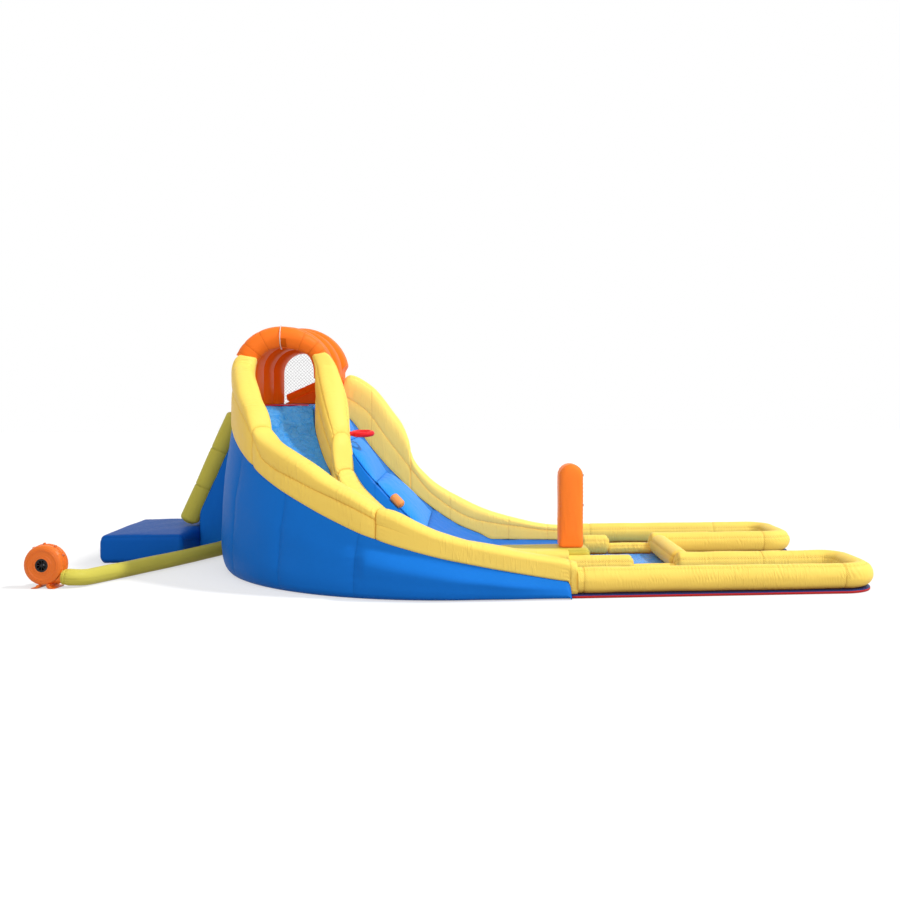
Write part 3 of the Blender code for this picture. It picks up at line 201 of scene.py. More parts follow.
class ParkStage(bpy.types.PropertyGroup):
    """Camera, floor and lamps."""
    lens: bpy.props.FloatProperty(
        name="Lens", description="Focal length in millimetres", default=42.0, min=10.0, subtype="NONE")
    eye: bpy.props.FloatVectorProperty(
        name="Eye", description="Place of the camera", size=3, default=(0.0, -11.75, 1.8), subtype="XYZ",
        unit="LENGTH")
    turn: bpy.props.FloatProperty(
        name="Turn", description="Camera's turn towards +X", default=math.radians(5.35), subtype="ANGLE",
        unit="ROTATION")
    key: bpy.props.FloatProperty(
        name="Key lamp", description="Strength of the high lamp on the right", default=2.1, min=0.0)
    front: bpy.props.FloatProperty(
        name="Front lamp", description="Strength of the wide soft lamp beside the camera", default=1.15,
        min=0.0)
    fill: bpy.props.FloatProperty(
        name="Fill", description="Strength of the even light from all round", default=0.50, min=0.0)


def height_line(points, share):
    """Heights at shares of a line: a cubic between the given points whose slope at each is the harmonic mean
    of the slopes beside it, so that it never overshoots."""
    xs, ys = np.array(points, float).T
    share = np.clip(np.asarray(share, float), xs[0], xs[-1])
    i = np.clip(np.searchsorted(xs, share, side="right") - 1, 0, len(xs) - 2)
    steps = np.diff(ys) / np.diff(xs)
    a, b = steps[:-1], steps[1:]
    both = np.where(np.abs(a + b) < 1e-12, 1.0, a + b)
    slopes = np.concatenate(([steps[0]], np.where(a * b > 0, 2 * a * b / both, 0.0), [steps[-1]]))
    h = xs[i + 1] - xs[i]
    t = (share - xs[i]) / h
    return ((2 * t ** 3 - 3 * t ** 2 + 1) * ys[i] + (t ** 3 - 2 * t ** 2 + t) * h * slopes[i]
            + (3 * t ** 2 - 2 * t ** 3) * ys[i + 1] + (t ** 3 - t ** 2) * h * slopes[i + 1])


def along_slide(points, station):
    return height_line(points, station / SLIDE_LENGTH)


def plan(station, radius):
    """x and y at a station: -radius (cos a, sin a) on the turn, a = station / 2.36, and then straight on."""
    turn = np.minimum(station, TURN_LENGTH) / TURN_RADIUS
    past = np.maximum(station - TURN_LENGTH, 0.0)
    return past - radius * np.cos(turn), -radius * np.sin(turn)


def lane_share(x):
    return (x - CLIMB_START) / (CLIMB_END - CLIMB_START)


def far_edge(x):
    return FAR_EDGE[0] + (FAR_EDGE[1] - FAR_EDGE[0]) * lane_share(x)


def ease(t):
    """Smooth step: 3t^2 - 2t^3, held at 0 and 1 outside."""
    t = np.clip(t, 0.0, 1.0)
    return t * t * (3 - 2 * t)


def ripple(a, b, seed, waves=7):
    """A soft random surface between -1 and 1: the mean of sine waves whose directions, lengths and starts
    come from a seed. a and b are coordinates measured in wavelengths."""
    rng = np.random.default_rng(seed)
    total = 0.0
    for _ in range(waves):
        way, size, start = rng.uniform(0, 2 * np.pi), rng.uniform(0.6, 1.7), rng.uniform(0, 2 * np.pi)
        total = total + np.sin(2 * np.pi * size * (a * math.cos(way) + b * math.sin(way)) + start)
    return total / waves * 1.6


def resample(path, step):
    """Points at even steps along a path: its coordinates interpolated against its length."""
    path = np.array(path, float)
    run = np.concatenate(([0.0], np.cumsum(np.linalg.norm(np.diff(path, axis=0), axis=1))))
    at = np.linspace(0.0, run[-1], max(4, int(round(run[-1] / step)) + 1))
    return np.stack([np.interp(at, run, path[:, k]) for k in range(3)], axis=1), at


def nearest(values, at):
    return int(np.argmin(np.abs(values - at)))


def line_gap(s, lines):
    """Distance from each station to the nearest of some lines across the way, at most 1 m."""
    return np.minimum(np.abs(s[:, None] - lines).min(axis=1), 1.0)[:, None]


def grid(x, y, z):
    """Points from coordinates that are brought to one shape."""
    return np.stack(np.broadcast_arrays(x, y, z), axis=-1)


def lengths(points):
    """Distance along the rows and round the columns of a grid, summed from one point to the next."""
    down = np.linalg.norm(np.diff(points, axis=0), axis=2).mean(axis=1)
    round_steps = np.linalg.norm(np.roll(points, -1, axis=1) - points, axis=2)
    across = np.cumsum(np.pad(round_steps, ((0, 0), (1, 0))), axis=1)
    return np.concatenate(([0.0], np.cumsum(down))), across


def outward(points):
    """Unit normals of a grid that closes round its columns: the cross product of the differences along and
    round, turned to point away from each ring's middle."""
    normal = np.cross(np.gradient(points, axis=0), np.roll(points, -1, axis=1) - np.roll(points, 1, axis=1))
    normal /= np.maximum(np.linalg.norm(normal, axis=2, keepdims=True), 1e-12)
    inside_out = np.sum(normal * (points - points.mean(axis=1, keepdims=True))) < 0
    return -normal if inside_out else normal


def put_mesh(name, vertices, seam, quads, quad_uv, fans=(), fan_uv=()):
    """Makes a mesh object from whole arrays. Faces are turned so that the closed surface's volume, a sixth
    of the sum of its triangles' triple products, is positive."""
    fans, fan_uv = np.reshape(fans, (-1, 3)).astype(int), np.reshape(fan_uv, (-1, 3, 2))
    triangles = np.concatenate((quads[:, [0, 1, 2]], quads[:, [0, 2, 3]], fans))
    a, b, c = (vertices[triangles[:, k]] for k in range(3))
    if np.sum(a * np.cross(b, c)) < 0:
        quads, quad_uv, fans, fan_uv = (array[:, ::-1] for array in (quads, quad_uv, fans, fan_uv))
    mesh = bpy.data.meshes.new(name)
    mesh.vertices.add(len(vertices))
    mesh.vertices.foreach_set("co", vertices.astype(np.float32).ravel())
    corners = np.concatenate((quads.ravel(), fans.ravel())).astype(np.int32)
    sizes = np.concatenate((np.full(len(quads), 4), np.full(len(fans), 3)))
    starts = np.concatenate(([0], np.cumsum(sizes)[:-1])).astype(np.int32)
    mesh.loops.add(len(corners))
    mesh.loops.foreach_set("vertex_index", corners)
    mesh.polygons.add(len(sizes))
    mesh.polygons.foreach_set("loop_start", starts)
    mesh.polygons.foreach_set("use_smooth", np.ones(len(sizes), bool))
    mesh.update(calc_edges=True)
    uv = np.concatenate((quad_uv.reshape(-1, 2), fan_uv.reshape(-1, 2))).astype(np.float32)
    mesh.uv_layers.new(name="cloth").data.foreach_set("uv", uv.ravel())
    mesh.attributes.new("seam", "FLOAT", "POINT").data.foreach_set("value", seam.astype(np.float32))
    mesh.validate()
    made = bpy.data.objects.new(name, mesh)
    bpy.context.scene.collection.objects.link(made)
    return made


def skin(name, points, seam=None, wrap_rows=False):
    """A closed surface from a grid of rings: quads between neighbours, and a fan round the middle of each
    end. The UV map holds metres along and round; the seam attribute the distance to the nearest seam."""
    rows, columns = points.shape[:2]
    if seam is None:
        seam = np.ones((rows, columns))
    number = np.arange(rows * columns).reshape(rows, columns)
    number = np.concatenate((number, number[:, :1]), axis=1)
    along, across = lengths(points)
    if wrap_rows:
        number = np.concatenate((number, number[:1]))
        along = np.append(along, along[-1] + np.linalg.norm(points[0] - points[-1], axis=1).mean())
        across = np.concatenate((across, across[:1]))
    metres = np.stack(np.broadcast_arrays(along[:, None], across), axis=-1)
    quads, quad_uv = (np.stack([table[:-1, :-1], table[1:, :-1], table[1:, 1:], table[:-1, 1:]], axis=2)
                      for table in (number, metres))
    quads, quad_uv = quads.reshape(-1, 4), quad_uv.reshape(-1, 4, 2)
    if wrap_rows:
        return put_mesh(name, points.reshape(-1, 3), seam.ravel(), quads, quad_uv)
    vertices = np.concatenate((points.reshape(-1, 3), points[[0, -1]].mean(axis=1)))
    fans, fan_uv = [], []
    for row, turn, pole in ((0, 1, rows * columns), (-1, -1, rows * columns + 1)):
        for table, tip, whole in ((number, pole, fans), (metres, metres[row].mean(axis=0), fan_uv)):
            sides = (table[row, :-1], table[row, 1:])[::turn]
            whole.append(np.stack((*sides, np.broadcast_to(tip, sides[0].shape)), axis=1))
    return put_mesh(name, vertices, np.append(seam, seam[[0, -1]].mean(axis=1)), quads, quad_uv,
                    np.concatenate(fans), np.concatenate(fan_uv))


def domed(points, start=0.0, end=0.0, rings=7):
    """Adds rings that close the ends of a tube of rings: each is the end ring drawn towards its middle by a
    share q, and pushed out by the dome's height times 1 - q^2."""
    share = np.cos(np.linspace(0.0, 1.0, rings + 1)[1:] * np.pi / 2 * 0.94)[:, None, None]
    ends = []
    for ring, beside, rise in ((points[0], points[1], start), (points[-1], points[-2], end)):
        middle = ring.mean(axis=0)
        out = middle - beside.mean(axis=0)
        out = out / max(np.linalg.norm(out), 1e-9)
        ends.append(middle + (ring - middle) * share + out * rise * (1 - share ** 2))
    return np.concatenate((ends[0][::-1], points, ends[1]))


def seam_distance(points, long_seams, cross_seams):
    """Distance from each point of a grid to the nearest of its seams: some columns and some rows."""
    along, across = lengths(points)
    whole, across = across[:, -1:], across[:, :-1]
    far_long, far_cross = np.ones_like(across), np.ones_like(across)
    for k in long_seams:
        gap = np.abs(across - across[:, k % across.shape[1]][:, None])
        far_long = np.minimum(far_long, np.minimum(gap, whole - gap))
    for k in cross_seams:
        far_cross = np.minimum(far_cross, np.abs(along - along[k % len(along)])[:, None])
    return along, across, far_long, far_cross


def sew(points, long_seams=(), cross_seams=(), groove=None, pucker=None, pitch=None, reach=0.045,
        sway=0.0025, seed=1, slack=()):
    """Draws a chamber's skin in along its seams and folds it beside them. The surface moves along its normal
    by -groove e^(-d/7mm) - pucker e^(-d/reach) (1 + cos(2 pi s/pitch + sway))/2, with d the distance to a
    seam and s the distance along it, and by a slow ripple. Along the slack columns it only folds, in
    loose patches."""
    usual = bpy.context.scene.park_cloth
    groove = usual.groove if groove is None else groove
    pucker = usual.pucker if pucker is None else pucker
    pitch = usual.pitch if pitch is None else pitch
    along, b, far_long, far_cross = seam_distance(points, long_seams, cross_seams)
    a = np.broadcast_to(along[:, None], b.shape)
    wobble = 3.6 * ripple(a / 0.24, b / 0.31, seed)
    swell = np.maximum(0.55 + 0.60 * ripple(a / 0.33, b / 0.5, seed + 5), 0.05)
    move = sway * ripple(a / 0.55, b / 0.45, seed + 9)
    for far, run in ((far_long, a), (far_cross, b)):
        fold = (1 + np.cos(2 * np.pi * run / pitch + wobble)) / 2
        move = move - groove * np.exp(-far / 0.007) - pucker * swell * fold * np.exp(-far / reach)
    if slack:
        loose = seam_distance(points, slack, ())[2]
        patch = np.clip(0.35 + 0.9 * ripple(a / 0.42, b / 0.9, seed + 13), 0.08, 1.0)
        tilt = 2 * np.pi * (a + 0.35 * (b - b.mean())) / (0.80 * pitch)
        fold = np.maximum(np.cos(tilt + 5.0 * ripple(a / 0.19, b / 0.5, seed + 17)), 0.0) ** 1.5
        move = move - 1.35 * pucker * patch * fold * np.exp(-(loose / 0.055) ** 2)
    return points + outward(points) * move[:, :, None], np.minimum(far_long, far_cross)


def swept(path, radius, columns=48, up=(0.0, 0.0, 1.0), squash=1.0):
    """A round section carried along a path: path + side r cos t + rise r sin t, where side is the path's way
    crossed with up. The radius may change along the path."""
    way = np.gradient(path, axis=0)
    way /= np.linalg.norm(way, axis=1, keepdims=True)
    side = np.cross(way, np.array(up, float))
    side /= np.linalg.norm(side, axis=1, keepdims=True)
    rise = np.cross(side, way)
    t = np.linspace(0, 2 * np.pi, columns, endpoint=False)
    r = np.broadcast_to(np.asarray(radius, float), (len(path),))[:, None, None]
    return (path[:, None] + side[:, None] * r * np.cos(t)[None, :, None]
            + rise[:, None] * r * squash * np.sin(t)[None, :, None])


def bolster_radius(run, radius, start, end):
    """Radius along a bolster that closes like a cushion at its ends, there r sqrt(1 - (1 - d/0.62r)^2)."""
    shrink = np.ones_like(run)
    for d, on in ((run, start), (run[-1] - run, end)):
        if on:
            q = 1 - np.clip(d / (BOLSTER_END * radius), 0, 1)
            shrink = shrink * np.sqrt(np.maximum(1 - q * q, 0.02))
    return radius * shrink


def end_steps(path, radius, step, start, end):
    """Even points along a path with closer ones where it closes at an end."""
    points, run = resample(path, step)
    near = BOLSTER_END * radius * (1 - np.cos(np.linspace(0, np.pi / 2, 12)))
    at = run
    if start:
        at = np.concatenate((near, at[at > near[-1] + step * 0.4]))
    if end:
        at = np.concatenate((at[at < run[-1] - near[-1] - step * 0.4], (run[-1] - near)[::-1]))
    return np.stack([np.interp(at, run, points[:, k]) for k in range(3)], axis=1), at


def air_tube(node, finish, path, radius, long_seams, cross_at=(), start=True, end=True, step=0.009,
             columns=48, up=(0.0, 0.0, 1.0), seed=1, **folds):
    """A sewn tube along a path, closed like a cushion at its ends where asked, as the skin of one node."""
    points, run = end_steps(path, radius, step, start, end)
    rings = swept(points, bolster_radius(run, radius, start, end), columns, up)
    rows = [nearest(run, at) for at in cross_at]
    if start:
        rows.append(6)
    if end:
        rows.append(len(run) - 7)
    return sewn_skin(node, finish, rings, long_seams, rows, seed=seed, **folds)


def block_ring(wide, tall, edge, columns):
    """A rectangle with rounded corners, from its lower right corner round: offsets in the plane, and the
    number of each corner's middle point."""
    arc = columns // 8
    signs = ((1, -1), (1, 1), (-1, 1), (-1, -1), (1, -1))
    parts, corners = [], []
    for k in range(4):
        here, after = (np.array(signs[j]) * (np.array((wide, tall)) / 2 - edge) for j in (k, k + 1))
        t = np.linspace(-math.pi / 2, 0.0, arc) + k * math.pi / 2
        parts.append(here + edge * np.stack((np.cos(t), np.sin(t)), axis=1))
        corners.append(sum(map(len, parts)) - arc // 2)
        a, b = parts[-1][-1], after + edge * np.array((np.cos(t[-1]), np.sin(t[-1])))
        parts.append(a + (b - a) * np.linspace(0, 1, arc + 2)[1:-1, None])
    return np.concatenate(parts), corners


def end_insets(length, edge, turns, inner):
    """Stations along a block with closer ones at its rounded ends, and how far each of them draws in: e -
    sqrt(e^2 - (e - d)^2) at a distance d from an end that is rounded with the radius e."""
    near = edge * (1 - np.cos(np.linspace(0, np.pi / 2, turns)))
    at = np.concatenate((near, np.linspace(edge, length - edge, inner)[1:-1], (length - near)[::-1]))
    d = np.minimum(at, length - at)
    return at, np.where(d < edge, edge - np.sqrt(np.maximum(edge ** 2 - (edge - d) ** 2, 0)), 0.0)


def soft_block(low, high, edge, crown=0.0, columns=96):
    """A cushion-like block: a rounded rectangle carried from end to end along X, drawn in at both ends by
    the edge's radius, with domed ends, and swollen in the middle of its length by the crown."""
    low, high = np.array(low, float), np.array(high, float)
    size, middle = high - low, (high + low) / 2
    at, inset = end_insets(size[0], edge, 9, max(4, int((size[0] - 2 * edge) / BLOCK_STEP)))
    ring, corners = block_ring(size[1], size[2], edge, columns)
    swell = crown * np.sin(np.pi * at / size[0]) ** 0.6
    half = size[1:] / 2
    scale = (half - inset[:, None] + swell[:, None]) / half
    yz = middle[1:] + ring * scale[:, None]
    x = np.broadcast_to((low[0] + at)[:, None, None], (*yz.shape[:2], 1))
    return domed(np.concatenate((x, yz), axis=2), crown, crown), corners


def tie(obj, material, nodes=()):
    """Finishes a piece: its material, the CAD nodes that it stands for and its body."""
    obj.data.materials.append(material)
    if nodes:
        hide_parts(*nodes)
    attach(obj, "park")
    return obj


def dress(node, points, finish, seam=None, wrap_rows=False):
    """The skin that stands for one node, in one of the cloth finishes."""
    return tie(skin(node + "_skin", points, seam, wrap_rows), cloth(finish), (node,))


def sewn_skin(node, finish, rings, long_seams, cross_seams=(), floor=0.0, **folds):
    """Sews a grid of rings, keeps it above the level that it stands on, and dresses its node."""
    rings, seam = sew(rings, long_seams, cross_seams, **folds)
    rings[:, :, 2] = np.maximum(rings[:, :, 2], floor)
    return dress(node, rings, finish, seam)


# Materials

# Cloth finishes: material slot, colour (one of ParkColours or a value), and what differs from usual cloth
CLOTHS = {
    # The emission values given for each cloth are painted light: a glow that brightens its shaded side. The
    # sunlit yellow is the same yellow with a stronger painted glow.
    "yellow_vinyl": ("yellow_vinyl", "yellow", dict(crinkles=0.0042, painted_glow=(0.13, 0.036, 0.003))),
    "sunlit_yellow_vinyl": ("yellow_vinyl", "yellow", dict(crinkles=0.0030, painted_glow=(0.30, 0.170, 0.060))),
    "blue_vinyl": ("blue_vinyl", "blue", dict(gloss=0.46, wrinkles=0.0016, painted_glow=(0.0, 0.004, 0.015),
                                              specular=0.03)),
    "shaded_blue_vinyl": ("blue_vinyl", (0.005, 0.115, 0.50),
                          dict(gloss=0.46, wrinkles=0.0030, specular=0.05)),
    "light_blue_vinyl": ("blue_vinyl", "pale_blue", dict(gloss=0.44)),
    "orange_vinyl": ("orange_vinyl", "orange",
                     dict(gloss=0.40, wrinkles=0.0014, painted_glow=(0.10, 0.012, 0.001))),
    "pillar_orange_vinyl": ("orange_vinyl", "orange", dict(gloss=0.40, wrinkles=0.0010, crinkles=0.0012,
                                                           painted_glow=(0.24, 0.062, 0.012))),
    "deep_orange_vinyl": ("orange_vinyl", "deep_orange", dict(painted_glow=(0.13, 0.018, 0.0), specular=0.03)),
    "peach_vinyl": ("orange_vinyl", (0.93, 0.36, 0.12), dict(gloss=0.40)),
    "patch_vinyl": ("orange_vinyl", (0.62, 0.10, 0.004), dict(gloss=0.4, painted_glow=(0.04, 0.01, 0.0))),
    "lime_vinyl": ("lime_vinyl", "lime", dict(crinkles=0.0012, painted_glow=(0.035, 0.022, 0.0))),
    "red_vinyl": ("red_vinyl", "red", dict(gloss=0.32, painted_glow=(0.08, 0.0, 0.001))),
    "base_vinyl": ("red_vinyl", (0.48, 0.022, 0.02), dict(gloss=0.40)),
    "webbing": ("webbing", (0.10, 0.36, 0.55), dict(gloss=0.62, folds=0.0, wrinkles=0.0002)),
    "zip_tape": ("webbing", (0.03, 0.03, 0.035), dict(gloss=0.7, folds=0.0, wrinkles=0.0002)),
}


class Wire:
    """A shader socket that can be added to, multiplied and so on. Each sign adds one Math node."""

    def __init__(self, socket):
        self.socket = socket

    def __add__(self, other):
        return calc("ADD", self, other)

    def __sub__(self, other):
        return calc("SUBTRACT", self, other)

    def __mul__(self, other):
        return calc("MULTIPLY", self, other)

    def __truediv__(self, other):
        return calc("DIVIDE", self, other)

    def __rsub__(self, other):
        return calc("SUBTRACT", other, self)

    def __rtruediv__(self, other):
        return calc("DIVIDE", other, self)


def feed(tree, value, socket):
    """Sets an input: a wire is linked to it, and anything else becomes its value."""
    if isinstance(value, Wire):
        tree.links.new(value.socket, socket)
    else:
        socket.default_value = value


def add(tree, kind, inputs=None, **settings):
    """Adds a shader node with its settings and inputs."""
    made = tree.nodes.new("ShaderNode" + kind)
    for key, value in settings.items():
        setattr(made, key, value)
    for key, value in (inputs or {}).items():
        feed(tree, value, made.inputs[key])
    return made


def calc(operation, *values):
    """One Math node on wires and numbers."""
    tree = next(value for value in values if isinstance(value, Wire)).socket.id_data
    return Wire(add(tree, "Math", dict(enumerate(values)), operation=operation).outputs[0])


def noise(tree, place, scale, detail, **more):
    inputs = {"Vector": place, "Scale": scale, "Detail": detail, **more}
    return Wire(add(tree, "TexNoise", inputs).outputs["Fac"])


def stretched(tree, place, scale, turn=0.0):
    """A place scaled and turned by a Mapping node."""
    return Wire(add(tree, "Mapping", {0: place, 2: (0.0, 0.0, turn), 3: scale}).outputs[0])


def new_group(name, colours, vectors, values):
    """A node group with the named inputs, and with a colour, a roughness and a height as its outputs."""
    tree = bpy.data.node_groups.new(name, "ShaderNodeTree")
    for kind, labels in (("Color", colours), ("Vector", vectors), ("Float", values)):
        for label in labels:
            socket = tree.interface.new_socket(label, in_out="INPUT", socket_type="NodeSocket" + kind)
            if kind == "Float":
                socket.default_value = values[label]
    for label, kind in (("Colour", "Color"), ("Roughness", "Float"), ("Height", "Float")):
        tree.interface.new_socket(label, in_out="OUTPUT", socket_type="NodeSocket" + kind)
    given = tree.nodes.new("NodeGroupInput")
    return tree, {socket.name: Wire(socket) for socket in given.outputs if socket.name}


def close_group(tree, colour, tone, rough, height):
    """Ends a node group: the colour is scaled by the tone on all three channels."""
    out = tree.nodes.new("NodeGroupOutput")
    scaled = add(tree, "VectorMath", {0: colour, "Scale": tone}, operation="SCALE")
    for key, value in (("Colour", Wire(scaled.outputs[0])), ("Roughness", rough), ("Height", height)):
        feed(tree, value, out.inputs[key])
    return tree


def coated_cloth_group():
    """Coated cloth: slow and fine changes of tone, a plain weave, soft wrinkles, short crinkles in patches,
    and folds and stitches beside the seams, with painted shade close to each seam. Heights are in metres."""
    tree, g = new_group("coated_cloth", ["Colour"], ["Place", "Cloth"],
                        {"Seam": 1.0, "Weave": 0.0028, "Fold Depth": 0.0012, "Wrinkle Depth": 0.0020,
                         "Gloss": 0.42, "Crinkle Depth": 0.0})
    place, seam = g["Place"], g["Seam"]
    slow, fine = noise(tree, place, 1.7, 2.0), noise(tree, place, 23.0, 5.0)
    x, y = (Wire(socket) for socket in add(tree, "SeparateXYZ", {0: g["Cloth"]}).outputs[:2])
    turns = 2 * math.pi / g["Weave"]
    threads = calc("SINE", x * turns) * calc("SINE", y * turns)
    drift = noise(tree, place, 9.0, 1.0) * 9.0
    folds = calc("SINE", (x + y) * 290.0 + drift) * calc("EXPONENT", seam / -0.028) * g["Fold Depth"]
    crumple = noise(tree, stretched(tree, g["Cloth"], (5.5, 13.0, 1.0)), 1.0, 3.0, Roughness=0.45,
                    Distortion=0.6)
    sag = (0.5 - calc("ABSOLUTE", crumple - 0.5)) * g["Wrinkle Depth"]
    short = noise(tree, stretched(tree, g["Cloth"], (36.0, 6.5, 1.0), 0.12), 1.0, 1.5, Distortion=0.7)
    crest = calc("MAXIMUM", (short - 0.53) * 5.0, 0.0)
    spot = (noise(tree, place, 1.9, 1.0) - 0.42) * 6.0
    crinkles = crest * Wire(add(tree, "Clamp", {0: spot}).outputs[0]) * g["Crinkle Depth"]
    dash = calc("GREATER_THAN", calc("SINE", (x + y) * 700.0), -0.3)
    stitch = calc("LESS_THAN", seam, 0.0035) * (dash * 0.05 + 0.06)
    # Painted shade: the cloth darkens within about a centimetre of each seam, where its groove lies in
    # shade.
    seam_shade = calc("EXPONENT", seam / -0.010) * 0.06
    tone = (slow - 0.5) * 0.14 + (fine - 0.5) * 0.05 + 1.0 - (stitch + seam_shade)
    return close_group(tree, g["Colour"], tone, g["Gloss"] + (fine - 0.5) * 0.22 + stitch * 0.6,
                       folds + sag + threads * 0.00004 + crinkles)


def moulded_plastic_group():
    """Moulded plastic: a fine grain and slow changes of tone and gloss."""
    tree, g = new_group("moulded_plastic", ["Colour"], ["Place"],
                        {"Grain": 900.0, "Gloss": 0.36, "Grain Depth": 0.00005})
    grain, slow = noise(tree, g["Place"], g["Grain"], 3.0), noise(tree, g["Place"], 14.0, 3.0)
    return close_group(tree, g["Colour"], slow * 0.10 + grain * 0.04 + 0.93,
                       g["Gloss"] + (slow - 0.5) * 0.25, grain * g["Grain Depth"])


def wet_sheet_group():
    """A loose sheet with water on it: crumpled ridges, whose crests carry a painted highlight in a paler
    tone.
    """
    tree, g = new_group("wet_sheet", ["Colour", "Highlight Colour"], ["Place"],
                        {"Scale": 9.0, "Depth": 0.004, "Share": 0.5})
    bend = noise(tree, g["Place"], g["Scale"], 4.0, Roughness=0.55, Distortion=1.4)
    ridge = calc("MAXIMUM", 1.0 - calc("ABSOLUTE", bend - 0.5) * 7.0, 0.0)
    # Painted highlight: the pale colour is mixed in on the ridges, in random patches, for light on the wet
    # crests.
    highlight_mask = ridge * g["Share"] * (noise(tree, g["Place"], 2.3, 2.0) + 0.35)
    mixed = add(tree, "Mix", {0: highlight_mask, 6: g["Colour"], 7: g["Highlight Colour"]}, data_type="RGBA")
    return close_group(tree, Wire(mixed.outputs[2]), 1.0, 0.40 - ridge * 0.18, (ridge + bend) * g["Depth"])


GROUP_MAKERS = {"coated_cloth": coated_cloth_group, "moulded_plastic": moulded_plastic_group,
                "wet_sheet": wet_sheet_group}


def empty_material(name):
    material = bpy.data.materials.new(name)
    material.use_nodes = True
    return material, material.node_tree, material.node_tree.nodes["Principled BSDF"]


def make_material(name, kind, values, settings):
    """A material, built once: a node group with its own values feeds the shader, which has its own settings.
    Its name ends in _look, because the imported part has plain materials under the bare names."""
    name += "_look"
    if name in bpy.data.materials:
        return bpy.data.materials[name]
    material, tree, shader = empty_material(name)
    maps = {"Place": add(tree, "TexCoord").outputs["Object"]}
    if kind == "coated_cloth":
        maps["Cloth"] = add(tree, "UVMap", uv_map="cloth").outputs["UV"]
        maps["Seam"] = add(tree, "Attribute", attribute_name="seam").outputs["Fac"]
    made = add(tree, "Group", node_tree=bpy.data.node_groups.get(kind) or GROUP_MAKERS[kind]())
    for key, value in {**values, **{key: Wire(socket) for key, socket in maps.items()}}.items():
        feed(tree, value, made.inputs[key])
    bump = add(tree, "Bump", {"Height": Wire(made.outputs["Height"]), "Distance": 1.0, "Strength": 1.0})
    links = {"Base Color": made.outputs["Colour"], "Roughness": made.outputs["Roughness"],
             "Normal": bump.outputs[0]}
    for key, socket in links.items():
        tree.links.new(socket, shader.inputs[key])
    for key, value in settings.items():
        shader.inputs[key].default_value = value
    return material


def coated(name, colour, gloss=0.42, folds=0.0012, wrinkles=0.0020, crinkles=0.0, painted_glow=(0.0, 0.0, 0.0),
           specular=0.07):
    """Coated cloth. Its painted glow, a weak emission of a given colour, stands in for the light that comes
    from the sunlit air chamber behind it and brightens the cloth's shaded side."""
    values = {"Colour": (*colour, 1.0), "Weave": bpy.context.scene.park_cloth.weave, "Fold Depth": folds,
              "Wrinkle Depth": wrinkles, "Gloss": gloss, "Crinkle Depth": crinkles}
    return make_material(name, "coated_cloth", values,
                         {"Specular IOR Level": specular, "Emission Color": (*painted_glow, 1.0),
                          "Emission Strength": 1.0})


def cloth(name):
    """One of the cloth finishes of the table above."""
    _, colour, how = CLOTHS[name]
    if isinstance(colour, str):
        colour = getattr(bpy.context.scene.park_colours, colour)
    return coated(name, colour, **how)


def bind_edge(material):
    """Binds a base sheet's upper edge in dark blue: the colour changes with height."""
    tree = material.node_tree
    made = next(node for node in tree.nodes if node.type == "GROUP")
    place = next(node for node in tree.nodes if node.type == "TEX_COORD").outputs["Object"]
    high = Wire(add(tree, "SeparateXYZ", {0: Wire(place)}).outputs[2])
    mixed = add(tree, "Mix", {0: calc("GREATER_THAN", high, BINDING_HEIGHT), 6: Wire(made.outputs["Colour"]),
                              7: (0.008, 0.03, 0.16, 1.0)}, data_type="RGBA")
    tree.links.new(mixed.outputs[2], tree.nodes["Principled BSDF"].inputs["Base Color"])


def plastic(name, colour, gloss=0.36, grain=900.0, metallic=0.0):
    values = {"Colour": (*colour, 1.0), "Grain": grain, "Gloss": gloss, "Grain Depth": 0.00005}
    return make_material(name, "moulded_plastic", values, {"Metallic": metallic, "Specular IOR Level": 0.28})


def wet_vinyl(name, pale, scale, depth, share):
    """Light blue sheet with water on it: the pale colour of the painted highlight on its ridges, how many a
    metre, how deep, how strong.
    """
    values = {"Colour": (*bpy.context.scene.park_colours.pale_blue, 1.0), "Highlight Colour": (*pale, 1.0),
              "Scale": scale, "Depth": depth, "Share": share}
    return make_material(name, "wet_sheet", values,
                         {"Specular IOR Level": 0.20, "Coat Weight": 0.06, "Coat Roughness": 0.12})


# The slide

def guard_section():
    """One side of a guard from its foot to its crest, mirrored: signed width, share of the lower lobe's
    height, share of the upper lobe's height, how much the seam draws in, and the dome's angle.

    Lower lobe: full width, rounded in at the foot. Both lobes come to the seam as quarter ellipses. The
    upper lobe's dome is the curve |w|^2.6 + |h|^2.6 = 1."""
    t1 = (1 - np.cos(np.pi * np.linspace(0, 1, 22))) / 2
    w1 = 1 - 0.09 * np.clip(1 - t1 / 0.2, 0, 1) ** 2
    q1 = np.clip((t1 - 0.55) / 0.45, 0, 1)
    k = np.linspace(0, 1, 11)[1:]
    t2 = 0.38 * k ** 1.7
    q2 = 1 - t2 / 0.38
    a = np.linspace(0, np.pi / 2, 20)[1:]
    t3 = 0.38 + 0.62 * np.sin(a) ** 0.77
    w3 = np.cos(a) ** 0.77
    w3[-1] = 0.0
    low = np.concatenate((t1, np.ones(len(t2) + len(t3))))
    up = np.concatenate((np.zeros(len(t1)), t2, t3))
    wide = np.concatenate((w1, np.ones(len(t2)), w3))
    pinch = np.concatenate((1 - np.sqrt(1 - q1 ** 2), 1 - np.sqrt(1 - q2 ** 2), np.zeros(len(t3))))
    angle = np.concatenate((np.full(len(t1) + len(t2), -90.0), np.degrees(a)))
    back = slice(-2, None, -1)
    return (np.concatenate((wide, -wide[back])), np.concatenate((low, low[back])),
            np.concatenate((up, up[back])), np.concatenate((pinch, pinch[back])),
            np.concatenate((angle, np.where(angle[back] < 0, 270.0, 180 - angle[back]))))


SECTION = guard_section()
SEAM_COLUMNS = (21, len(SECTION[0]) - 22)


